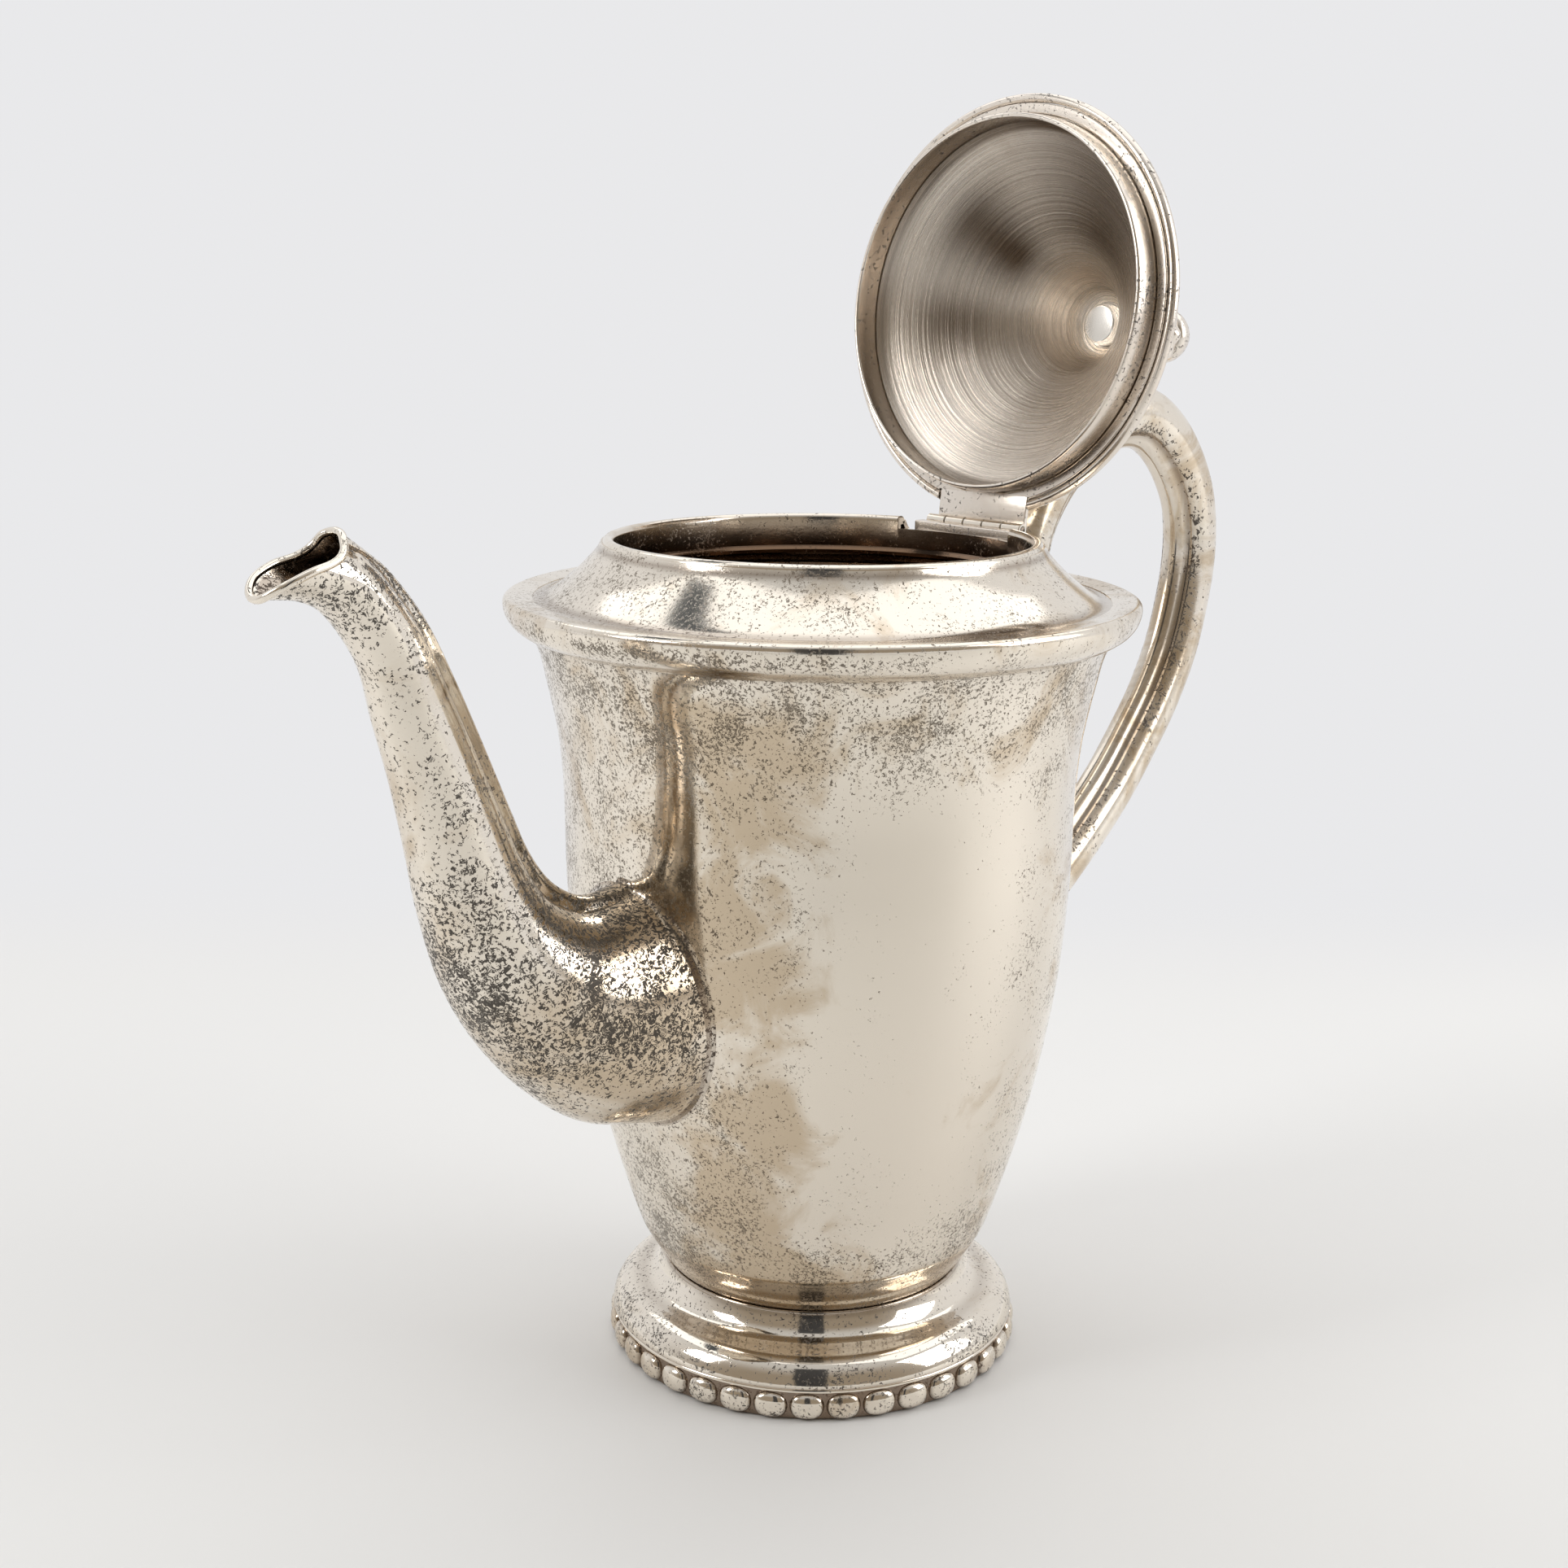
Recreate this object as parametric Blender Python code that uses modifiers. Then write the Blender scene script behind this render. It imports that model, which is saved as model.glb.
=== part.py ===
"""A hollow silver coffee pot with a hinged lid, built as its separate soldered and pinned pieces.

Metres, +Z up. The pot stands on Z = 0 with its turned axis on Z, the spout to -X and the handle
and hinge to +X. The lid is shown open, turned back about the hinge pin.
"""

import math

import bmesh
import bpy
from mathutils import Matrix, Vector

MM = 0.001
GAP = 0.3 * MM  # clearance between neighbouring pieces
SEGMENTS = 40  # facets round every turned piece

# Driving dimensions
WALL = 1.0 * MM
NECK_TOP = 168.5 * MM  # height of the pot without its lid
NECK_BORE = 41.0 * MM  # radius of the mouth
NECK_OUTER = 43.3 * MM
FLANGE_RADIUS = 62.9 * MM
FLANGE_TOP = 157.5 * MM
FOOT_RADIUS = 43.1 * MM
BEAD_COUNT = 36
BEAD_TURN = math.radians(-0.9)  # turns the border so that a bead faces the front
BEAD_HALF_HEIGHT = 2.6 * MM
BEAD_RING_RADIUS = 41.0 * MM
LID_SEAT = NECK_TOP + GAP  # underside of the closed lid's rim
LID_RADIUS = 43.2 * MM
BEZEL_RADIUS = 38.6 * MM
BEZEL_DEPTH = 5.1 * MM
HINGE_X = 45.6 * MM
HINGE_Z = 167.6 * MM
HINGE_RADIUS = 1.3 * MM
HINGE_WIDTH = 26.0 * MM
NOTCH_HALF_WIDTH = 15.6 * MM  # gap in the collar that the hinge stands in
KNUCKLE_COUNT = 5
PIN_RADIUS = 0.55 * MM
LID_OPEN = math.radians(97.0)
HANDLE_RADIUS = 6.2 * MM
HANDLE_RIB_HALF_WIDTH = 3.2 * MM
HANDLE_RIB_HEIGHT = 2.2 * MM
SPOUT_RIB_HALF_WIDTH = 2.5 * MM

# Turned outlines as (radius, height) in millimetres, from the top down the outer side
BODY_OUTLINE = (
    (57.3, 155.2), (57.2, 150.2), (55.6, 146.0), (53.9, 138.5), (52.0, 128.0), (51.3, 116.0),
    (51.1, 102.0), (49.9, 86.0), (47.2, 66.5), (42.3, 45.0), (37.9, 30.5), (33.8, 22.0), (30.6, 18.2),
)  # fmt: skip
NECK_OUTLINE = ((43.9, 166.2), (46.9, 163.2), (50.4, 160.2), (53.8, 157.8), (57.5, 156.5))
FOOT_OUTLINE = (
    (31.4, 15.4), (33.0, 13.6), (35.4, 12.4), (37.6, 11.6), (39.8, 10.2), (41.4, 8.4), (42.3, 6.9),
)  # fmt: skip
LID_OUTLINE = (
    (5.5, 205.6), (8.2, 203.0), (9.3, 199.5), (12.3, 193.8), (18.4, 187.4), (27.0, 180.0),
    (33.8, 174.8), (38.0, 172.1), (41.2, 171.3),
)  # fmt: skip

# Handle centre line in the XZ plane, from the shoulder over the loop to the body
HANDLE_PATH = (
    (60.5, 159.4), (62.0, 165.0), (66.0, 172.2), (73.0, 179.7), (82.5, 186.2), (93.0, 189.4),
    (102.0, 188.5), (109.5, 184.3), (116.0, 177.5), (120.8, 169.5), (122.8, 161.5), (122.8, 153.0),
    (120.6, 142.6), (116.9, 132.4), (111.0, 122.0), (103.6, 112.4), (95.0, 102.6), (85.0, 93.5),
    (73.0, 84.0), (60.0, 74.0), (42.0, 60.0),
)  # fmt: skip

# Spout sections: back (X, Z), front (X, Z), half width across Y, rib height
SPOUT_SECTIONS = (
    ((-38.0, 106.5), (-38.0, 57.0), 19.0, 3.2),
    ((-50.5, 105.0), (-50.5, 60.0), 18.3, 3.2),
    ((-57.0, 104.0), (-63.3, 63.7), 17.0, 3.2),
    ((-62.5, 104.2), (-74.6, 72.2), 15.4, 3.2),
    ((-68.1, 106.9), (-84.1, 83.1), 13.6, 3.1),
    ((-72.8, 111.1), (-91.0, 95.3), 11.8, 3.0),
    ((-76.9, 117.4), (-95.6, 109.4), 10.1, 2.9),
    ((-80.2, 124.9), (-97.9, 120.2), 9.0, 2.8),
    ((-86.0, 138.6), (-101.0, 133.4), 7.7, 2.6),
    ((-91.3, 150.6), (-104.2, 144.6), 6.8, 2.4),
    ((-96.4, 161.0), (-106.9, 154.9), 6.2, 2.0),
    ((-102.3, 169.4), (-112.6, 163.6), 6.2, 1.4),
    ((-106.4, 173.6), (-118.2, 167.0), 6.2, 0.6),
)  # fmt: skip

# One side of the spout's wavy mouth, from its raised back to the drooping tip
MOUTH_RIM = (
    (-110.6, 0.0, 177.7), (-110.7, 1.5, 177.5), (-111.4, 3.1, 176.9), (-112.0, 4.7, 175.3),
    (-115.1, 6.0, 173.5), (-119.0, 6.4, 172.4), (-122.8, 5.5, 170.8), (-125.4, 3.3, 169.3),
    (-126.1, 0.0, 168.2),
)  # fmt: skip
MOUTH_FACING = Vector((-0.8, 0.0, 0.6))


def clear_scene():
    for obj in list(bpy.data.objects):
        bpy.data.objects.remove(obj, do_unlink=True)


def new_collection(name, hidden=False):
    collection = bpy.data.collections.new(name)
    bpy.context.scene.collection.children.link(collection)
    collection.hide_render = hidden
    return collection


clear_scene()
PARTS = new_collection("coffee_pot")
CUTTERS = new_collection("cutters", hidden=True)


def silver(name, colour, roughness, metallic=1.0):
    material = bpy.data.materials.new(name)
    material.use_nodes = True
    shader = material.node_tree.nodes["Principled BSDF"]
    shader.inputs["Base Color"].default_value = (*colour, 1.0)
    shader.inputs["Roughness"].default_value = roughness
    shader.inputs["Metallic"].default_value = metallic
    return material


POLISHED = silver("polished_silver", (0.80, 0.76, 0.69), 0.16)
AGED = silver("aged_silver", (0.66, 0.60, 0.52), 0.26)
SPUN = silver("spun_silver", (0.52, 0.46, 0.39), 0.34)
CAST = silver("cast_silver", (0.74, 0.70, 0.63), 0.28)
STEEL = silver("hinge_pin_steel", (0.50, 0.48, 0.46), 0.35)


def place(obj, material, collection=None):
    (collection or PARTS).objects.link(obj)
    if material:
        obj.data.materials.append(material)
    return obj


def as_cutter(obj):
    obj.display_type = "WIRE"
    obj.hide_render = True
    return obj


def mesh_object(name, mesh, material, collection=None):
    return place(bpy.data.objects.new(name, mesh), material, collection)


def shade(obj):
    obj.data.shade_smooth()
    obj.data.set_sharp_from_angle(angle=math.radians(35))


def scaled(points):
    return [(a * MM, b * MM) for a, b in points]


def offset_inwards(outline, distance):
    """The outline moved to the side that faces the axis, point by point along its normals."""
    moved = []
    for index, point in enumerate(outline):
        before = Vector(outline[max(index - 1, 0)])
        after = Vector(outline[min(index + 1, len(outline) - 1)])
        along = (after - before).normalized()
        moved.append((point[0] + along.y * distance, point[1] - along.x * distance))
    return moved


def shell_section(outline, wall=WALL):
    """A closed section: down the outer side, then back up the inner one."""
    return list(outline) + offset_inwards(outline, wall)[::-1]


def turned(name, section, material, closed=True, segments=SEGMENTS, collection=None):
    """A section of (radius, height) points swept round Z. An open one ends on the axis."""
    mesh = bpy.data.meshes.new(name)
    count = len(section)
    edges = [(i, i + 1) for i in range(count - 1)]
    if closed:
        edges.append((count - 1, 0))
    mesh.from_pydata([(r, 0.0, z) for r, z in section], edges, [])
    obj = mesh_object(name, mesh, material, collection)
    screw = obj.modifiers.new("turn", "SCREW")
    screw.axis = "Z"
    screw.steps = segments
    screw.render_steps = segments
    screw.use_merge_vertices = True
    screw.merge_threshold = 0.00001
    screw.use_smooth_shade = True
    return obj


def ring_section(radius, height, half_width, half_height, points=6):
    """A rounded section, clockwise from its top, for wires and mouldings."""
    turns = [math.tau * i / points for i in range(points)]
    return [(radius + half_width * math.sin(t), height + half_height * math.cos(t)) for t in turns]


def block(name, low, high, material, collection=None):
    mesh = bpy.data.meshes.new(name)
    cage = bmesh.new()
    bmesh.ops.create_cube(cage, size=1.0)
    size = Vector(high) - Vector(low)
    middle = (Vector(high) + Vector(low)) / 2
    bmesh.ops.scale(cage, vec=size, verts=cage.verts)
    bmesh.ops.translate(cage, vec=middle, verts=cage.verts)
    cage.to_mesh(mesh)
    cage.free()
    return mesh_object(name, mesh, material, collection)


def rod(name, start, end, radius, material, segments=12, collection=None):
    """A round bar between two points."""
    start, end = Vector(start), Vector(end)
    mesh = bpy.data.meshes.new(name)
    cage = bmesh.new()
    bmesh.ops.create_cone(
        cage, cap_ends=True, segments=segments, radius1=radius, radius2=radius,
        depth=(end - start).length,
    )  # fmt: skip
    turn = (end - start).to_track_quat("Z", "Y").to_matrix().to_4x4()
    bmesh.ops.transform(cage, matrix=Matrix.Translation((start + end) / 2) @ turn, verts=cage.verts)
    cage.to_mesh(mesh)
    cage.free()
    return mesh_object(name, mesh, material, collection)


def cut(obj, cutter, operation="DIFFERENCE"):
    modifier = obj.modifiers.new("cut_" + cutter.name, "BOOLEAN")
    modifier.operation = operation
    modifier.solver = "EXACT"
    modifier.object = cutter


def bake(obj):
    """Turns an object with modifiers into a plain mesh, so that it can be joined to others."""
    bpy.context.view_layer.update()
    graph = bpy.context.evaluated_depsgraph_get()
    mesh = bpy.data.meshes.new_from_object(obj.evaluated_get(graph))
    obj.modifiers.clear()
    obj.data = mesh
    return obj


def loft(name, rings, material):
    """Closed rings of equal length joined in order, with a flat cap on each end."""
    cage = bmesh.new()
    rows = [[cage.verts.new(point) for point in ring] for ring in rings]
    count = len(rings[0])
    for lower, upper in zip(rows, rows[1:]):
        for i in range(count):
            j = (i + 1) % count
            cage.faces.new((lower[i], lower[j], upper[j], upper[i]))
    cage.faces.new(rows[0][::-1])
    cage.faces.new(rows[-1])
    bmesh.ops.triangulate(cage, faces=cage.faces)
    bmesh.ops.recalc_face_normals(cage, faces=cage.faces)
    mesh = bpy.data.meshes.new(name)
    cage.to_mesh(mesh)
    cage.free()
    obj = mesh_object(name, mesh, material)
    shade(obj)
    return obj


def half_section(depth, width, rib_half_width, rib_height, steps=7):
    """Half of a ribbed tube's outline, from the rib on the back round to the front.

    Points are (towards the back, across). The tube is an ellipse with a flat rib on its back.
    """
    start = math.asin(min(rib_half_width / width, 0.9))
    face = depth + rib_height
    points = [(face, 0.0), (face, rib_half_width)] if rib_height > 0 else [(depth, 0.0), (depth, 0.4 * MM)]
    for i in range(steps):
        angle = start + (math.pi - start) * i / (steps - 1)
        points.append((depth * math.cos(angle), width * math.sin(angle)))
    points[-1] = (-depth, 0.0)
    return points


def half_tube_ring(centre, back, outline, wall, side):
    """One closed C-shaped ring of half a tube, on the +Y or -Y side of the plane of symmetry."""
    seam = GAP / 2
    outer = [Vector((a, max(b, 0.0))) for a, b in outline]
    widest = max(v.y for v in outer)
    deepest = max(abs(v.x) for v in outer)
    inner = []
    for v in outer:
        inner.append(Vector((v.x * (1 - wall / deepest), v.y * (1 - wall / widest))))
    loop = outer + inner[::-1]
    ring = []
    for v in loop:
        place_xz = centre + back * v.x
        ring.append(Vector((place_xz.x, side * max(v.y, seam), place_xz.y)))
    return ring


def path_frames(points):
    """Centre, and the direction towards the inside of the bend, at each point of a plane path."""
    frames = []
    for index, point in enumerate(points):
        before = Vector(points[max(index - 1, 0)])
        after = Vector(points[min(index + 1, len(points) - 1)])
        along = (after - before).normalized()
        frames.append((Vector(point), Vector((along.y, -along.x))))
    return frames


def body_cutter(name, extra):
    """The body's outer form, larger by a clearance, for cutting what is soldered to it."""
    outline = offset_inwards(scaled(BODY_OUTLINE), -extra)
    section = [(0.0, outline[0][1])] + outline + [(0.0, outline[-1][1])]
    return as_cutter(turned(name, section, None, closed=False, collection=CUTTERS))


# Foot


def make_foot():
    turned("foot_shell", shell_section(scaled(FOOT_OUTLINE)), AGED)
    half = 0.85 * MM
    turned("foot_joint_wire", ring_section(31.2 * MM, 16.75 * MM, half, half), POLISHED)
    turned("foot_rim_wire", ring_section(41.5 * MM, 5.75 * MM, 0.7 * MM, 0.35 * MM, 4), POLISHED)
    low, high, inner, outer = 0.0, 1.2 * MM, 36.5 * MM, 38.4 * MM
    turned("foot_stand_ring", [(outer, high), (outer, low), (inner, low), (inner, high)], AGED)
    make_bead_border()


def make_bead_border():
    """A band whose outer face swells into a row of round beads."""
    steps = 4
    swell = (0.15, 0.78, 1.0, 0.78)
    columns = BEAD_COUNT * steps
    inner = BEAD_RING_RADIUS - 2.3 * MM
    reach = FOOT_RADIUS - BEAD_RING_RADIUS
    rings = []
    for column in range(columns):
        angle = math.tau * column / columns + BEAD_TURN
        grow = swell[column % steps]
        half = BEAD_HALF_HEIGHT * (0.55 + 0.45 * grow)
        section = [
            (inner, BEAD_HALF_HEIGHT + 0.5 * half),
            (BEAD_RING_RADIUS, BEAD_HALF_HEIGHT + half),
            (BEAD_RING_RADIUS + reach * grow, BEAD_HALF_HEIGHT + 0.35 * half),
            (BEAD_RING_RADIUS + reach * grow, BEAD_HALF_HEIGHT - 0.35 * half),
            (BEAD_RING_RADIUS, BEAD_HALF_HEIGHT - half),
            (inner, BEAD_HALF_HEIGHT - 0.5 * half),
        ]
        rings.append([(r * math.cos(angle), r * math.sin(angle), z) for r, z in section])
    cage = bmesh.new()
    rows = [[cage.verts.new(point) for point in ring] for ring in rings]
    for row, following in zip(rows, rows[1:] + rows[:1]):
        for i in range(len(row)):
            j = (i + 1) % len(row)
            cage.faces.new((row[i], row[j], following[j], following[i]))
    bmesh.ops.recalc_face_normals(cage, faces=cage.faces)
    mesh = bpy.data.meshes.new("foot_bead_border")
    cage.to_mesh(mesh)
    cage.free()
    shade(mesh_object("foot_bead_border", mesh, CAST))


# Body, shoulder and neck


def make_body():
    outline = scaled(BODY_OUTLINE)
    inner = offset_inwards(outline, WALL)
    floor = outline[-1][1]
    section = (
        outline
        + [(0.0, floor), (0.0, floor + WALL)]
        + [(inner[-1][0] - WALL, floor + WALL)]
        + inner[:-1][::-1]
    )
    body = turned("body_shell", section, POLISHED)
    pitch, radius = 5.6 * MM, 1.7 * MM
    holes = bmesh.new()
    for row in range(-2, 3):
        for column in range(-1, 2):
            y = (column + 0.5 * (row % 2)) * pitch
            if row % 2 and column == 1:
                continue
            bmesh.ops.create_cone(
                holes, cap_ends=True, segments=8, radius1=radius, radius2=radius, depth=22 * MM,
                matrix=Matrix.Translation((-48 * MM, y, 81 * MM + row * pitch * 0.87))
                @ Matrix.Rotation(math.pi / 2, 4, "Y"),
            )  # fmt: skip
    mesh = bpy.data.meshes.new("strainer_drill")
    holes.to_mesh(mesh)
    holes.free()
    cut(body, as_cutter(mesh_object("strainer_drill", mesh, None, CUTTERS)))


def make_shoulder():
    neck = turned("neck_cone", shell_section(scaled(NECK_OUTLINE), 0.9 * MM), POLISHED)
    band = [
        (57.9, 157.2), (61.9, FLANGE_TOP / MM), (62.8, 156.7), (FLANGE_RADIUS / MM, 155.3),
        (62.1, 153.2), (60.4, 151.3), (57.9, 149.9),
    ]  # fmt: skip
    turned("shoulder_moulding", scaled(band), POLISHED)
    sleeve = NECK_BORE + WALL
    lip = 166.7 * MM
    collar = turned(
        "neck_collar",
        [
            (NECK_OUTER, NECK_TOP), (NECK_OUTER, lip), (sleeve, lip), (sleeve, 160.6 * MM),
            (NECK_BORE - 0.6 * MM, 160.2 * MM), (NECK_BORE - 0.6 * MM, 161.4 * MM),
            (NECK_BORE, 162.0 * MM), (NECK_BORE, NECK_TOP),
        ],
        POLISHED,
    )  # fmt: skip
    notch = block(
        "hinge_notch",
        (39.0 * MM, -NOTCH_HALF_WIDTH, 164.6 * MM),
        (60.0 * MM, NOTCH_HALF_WIDTH, 175.0 * MM),
        None,
        CUTTERS,
    )
    cut(collar, as_cutter(notch))
    cut(neck, notch)


# Spout and handle


def make_spout():
    cutter = body_cutter("body_form", GAP)
    for side, name in ((1, "spout_half_left"), (-1, "spout_half_right")):
        rings = []
        for back, front, width, rib in SPOUT_SECTIONS:
            back, front = Vector(back) * MM, Vector(front) * MM
            outline = half_section(
                (back - front).length / 2, width * MM, SPOUT_RIB_HALF_WIDTH, rib * MM
            )
            direction = (back - front).normalized()
            rings.append(half_tube_ring((back + front) / 2, direction, outline, WALL, side))
        rings.append(mouth_ring(side))
        half = loft(name, rings, POLISHED)
        cut(half, cutter)
    make_lip_wire()


def rim_inset(distance):
    """One side of the mouth's rim, drawn in towards the middle of the mouth."""
    rim = [Vector(point) * MM for point in MOUTH_RIM]
    middle = (rim[0] + rim[-1]) / 2
    middle.y = 0.0
    moved = []
    for point in rim:
        axis_point = middle.lerp(Vector((point.x, 0.0, point.z)), 0.8)
        moved.append(point + (axis_point - point).normalized() * distance)
    return moved


def mouth_ring(side):
    """The C-shaped ring that ends one half of the spout."""
    seam = GAP / 2
    loop = rim_inset(0.0) + rim_inset(0.9 * MM)[::-1]
    return [Vector((v.x, side * max(v.y, seam), v.z)) for v in loop]


def make_lip_wire():
    """A round wire rolled along the mouth's wavy rim."""
    radius = 0.55 * MM
    half = [v + MOUTH_FACING * (GAP + radius + 0.15 * MM) for v in rim_inset(0.45 * MM)]
    loop = half + [Vector((v.x, -v.y, v.z)) for v in half[-2:0:-1]]
    curve = bpy.data.curves.new("spout_lip_wire", "CURVE")
    curve.dimensions = "3D"
    curve.bevel_depth = radius
    curve.bevel_resolution = 1
    spline = curve.splines.new("POLY")
    spline.points.add(len(loop) - 1)
    spline.use_cyclic_u = True
    for point, spot in zip(spline.points, loop):
        point.co = (*spot, 1.0)
    place(bpy.data.objects.new("spout_lip_wire", curve), POLISHED)


def make_handle():
    path = scaled(HANDLE_PATH)
    plate_gap = 1.0 * MM + 2 * GAP
    cutter = body_cutter("body_form_with_plate", plate_gap)
    for side, name in ((1, "handle_half_left"), (-1, "handle_half_right")):
        outline = half_section(
            HANDLE_RADIUS, HANDLE_RADIUS, HANDLE_RIB_HALF_WIDTH, HANDLE_RIB_HEIGHT
        )
        rings = [
            half_tube_ring(centre, inward, outline, WALL, side)
            for centre, inward in path_frames(path)
        ]
        level = path[0][1]
        for point in rings[0]:
            point.z = level
        half = loft(name, rings, POLISHED)
        cut(half, cutter)
    make_handle_plates(path)


def make_handle_plates(path):
    upper = rod(
        "handle_upper_plate",
        (path[0][0] - 0.6 * MM, 0, FLANGE_TOP + GAP),
        (path[0][0] - 0.6 * MM, 0, path[0][1] - GAP),
        1.0,
        CAST,
        20,
    )
    size = Matrix.Diagonal((6.2 * MM, 7.6 * MM, 1.0, 1.0))
    centre = Matrix.Translation((path[0][0] - 0.6 * MM, 0, 0))
    upper.data.transform(centre @ size @ centre.inverted())
    outline = offset_inwards(scaled(BODY_OUTLINE), -GAP)
    outer = offset_inwards(outline, -1.0 * MM)
    first, last = 6, 9
    band = outer[first : last + 1] + outline[first : last + 1][::-1]
    lower = turned("handle_lower_plate", band, CAST)
    end, before = Vector(path[-1]), Vector(path[-2])
    along = (before - end).normalized()
    inner_end = end - along * 2 * MM
    outer_end = before + along * 8 * MM
    punch = rod(
        "lower_plate_punch",
        (inner_end.x, 0, inner_end.y),
        (outer_end.x, 0, outer_end.y),
        8.4 * MM,
        None,
        20,
        CUTTERS,
    )
    cut(lower, as_cutter(punch), "INTERSECT")


# Lid, finial and hinge


def rim_notch():
    """The gap in the lid's rim that the hinge leaf fills."""
    notch = block(
        "lid_notch",
        (BEZEL_RADIUS + 0.2 * MM, -12.3 * MM, LID_SEAT - 2 * MM),
        (50 * MM, 12.3 * MM, LID_SEAT + 1.5 * MM),
        None,
        CUTTERS,
    )
    return as_cutter(notch)


def make_lid():
    outline = scaled(LID_OUTLINE)
    inner = offset_inwards(outline, 0.9 * MM)
    hole = 1.9 * MM
    top = outline[0][1]
    section = [(hole, top)] + outline + inner[::-1] + [(hole, top - 0.9 * MM)]
    pieces = [turned("lid_dome", section, SPUN)]
    plate_top = LID_SEAT + 1.2 * MM
    plate = turned(
        "lid_rim_plate",
        [
            (41.2 * MM, plate_top), (41.2 * MM, LID_SEAT), (BEZEL_RADIUS + GAP, LID_SEAT),
            (BEZEL_RADIUS + GAP, plate_top),
        ],
        POLISHED,
    )  # fmt: skip
    wire = turned(
        "lid_edge_wire",
        ring_section(LID_RADIUS - 0.8 * MM, LID_SEAT + 1.1 * MM, 0.8 * MM, 1.1 * MM),
        CAST,
    )
    notch = rim_notch()
    cut(plate, notch)
    cut(wire, notch)
    bezel_top = LID_SEAT + 0.9 * MM
    bezel = turned(
        "lid_bezel",
        [
            (BEZEL_RADIUS, bezel_top), (BEZEL_RADIUS, LID_SEAT - BEZEL_DEPTH),
            (BEZEL_RADIUS - WALL, LID_SEAT - BEZEL_DEPTH), (BEZEL_RADIUS - WALL, bezel_top),
        ],
        POLISHED,
    )  # fmt: skip
    pieces += [plate, wire, bezel] + make_finial(top)
    return pieces


def make_finial(top):
    """A bud in a leafy cup, drawn down on to the dome by a threaded stud and a nut inside."""
    base = top + GAP
    stud_radius = 1.5 * MM
    bore = stud_radius + GAP
    cup = [
        (bore, 17.0), (6.2, 17.0), (6.6, 15.2), (4.6, 12.0), (2.9, 8.4), (3.2, 4.4), (5.4, 1.4),
        (5.6, 0.0), (bore, 0.0),
    ]  # fmt: skip
    cup = [(r if r == bore else r * MM, base + z * MM) for r, z in cup]
    bud_base = base + 17.0 * MM + GAP
    bud = [(0.0, 9.6), (2.2, 8.6), (4.6, 6.0), (6.0, 3.0), (5.8, 1.0), (4.4, 0.0)]
    bud = [(r * MM, bud_base + z * MM) for r, z in bud] + [(0.0, bud_base)]
    nut_top = top - 0.9 * MM - GAP
    nut_low = nut_top - 2.4 * MM
    nut = [(4.6 * MM, nut_top), (4.6 * MM, nut_low + 0.6 * MM), (3.9 * MM, nut_low)]
    nut += [(bore, nut_low), (bore, nut_top)]
    stud_low = nut_low - 0.8 * MM
    stud_top = bud_base - GAP
    stud = rod("finial_stud", (0, 0, stud_low), (0, 0, stud_top), stud_radius, STEEL)
    return [
        turned("finial_cup", cup, CAST, segments=16),
        turned("finial_bud", bud, CAST, closed=False, segments=16),
        turned("finial_nut", nut, AGED, segments=16),
        stud,
    ]


def make_hinge():
    """Five knuckles on one pin: three stand on the pot's leaf and two hang from the lid's."""
    half = HINGE_WIDTH / 2
    lid_leaf = block(
        "hinge_lid_leaf",
        (BEZEL_RADIUS + 0.5 * MM, -12.0 * MM, LID_SEAT + 0.4 * MM),
        (HINGE_X + 0.6 * MM, 12.0 * MM, LID_SEAT + 1.2 * MM),
        POLISHED,
    )
    block(
        "hinge_pot_leaf",
        (NECK_BORE, -NOTCH_HALF_WIDTH + GAP, 164.9 * MM),
        (HINGE_X + HINGE_RADIUS, NOTCH_HALF_WIDTH - GAP, HINGE_Z - HINGE_RADIUS - GAP),
        POLISHED,
    )
    rod("hinge_pin", (HINGE_X, -half, HINGE_Z), (HINGE_X, half, HINGE_Z), PIN_RADIUS, STEEL, 10)
    bore = as_cutter(
        rod(
            "knuckle_bore", (HINGE_X, -half - MM, HINGE_Z), (HINGE_X, half + MM, HINGE_Z),
            PIN_RADIUS + 0.2 * MM, None, 10, CUTTERS,
        )
    )  # fmt: skip
    length = HINGE_WIDTH / KNUCKLE_COUNT
    riding = [lid_leaf]
    for index in range(KNUCKLE_COUNT):
        start = -half + index * length + GAP / 2
        on_lid = index % 2 == 1
        owner = "lid" if on_lid else "pot"
        knuckle = rod(
            f"hinge_knuckle_{index + 1}_{owner}",
            (HINGE_X, start, HINGE_Z),
            (HINGE_X, start + length - GAP, HINGE_Z),
            HINGE_RADIUS,
            POLISHED,
            14,
        )
        cut(knuckle, bore)
        if on_lid:
            riding.append(knuckle)
    return riding


def open_lid(pieces):
    """Hangs the lid's pieces from an empty on the pin and turns it back to its stop."""
    pivot = bpy.data.objects.new("lid_pivot", None)
    PARTS.objects.link(pivot)
    pivot.location = (HINGE_X, 0.0, HINGE_Z)
    turn = Matrix.Translation(-Vector(pivot.location))
    for piece in pieces:
        bake(piece)
        piece.data.transform(turn)
        piece.parent = pivot
    pivot.rotation_euler = (0.0, LID_OPEN, 0.0)


make_foot()
make_body()
make_shoulder()
make_spout()
make_handle()
open_lid(make_lid() + make_hinge())
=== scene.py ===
"""The coffee pot's finished surfaces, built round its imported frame.

Metres, +Z up, turned axis on Z, spout to -X, handle and hinge to +X. Outlines are written in
millimetres. The lid's pieces are shaped closed, then turned open about the hinge pin.
"""

import math

import bmesh
import bpy
from mathutils import Matrix, Vector


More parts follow.
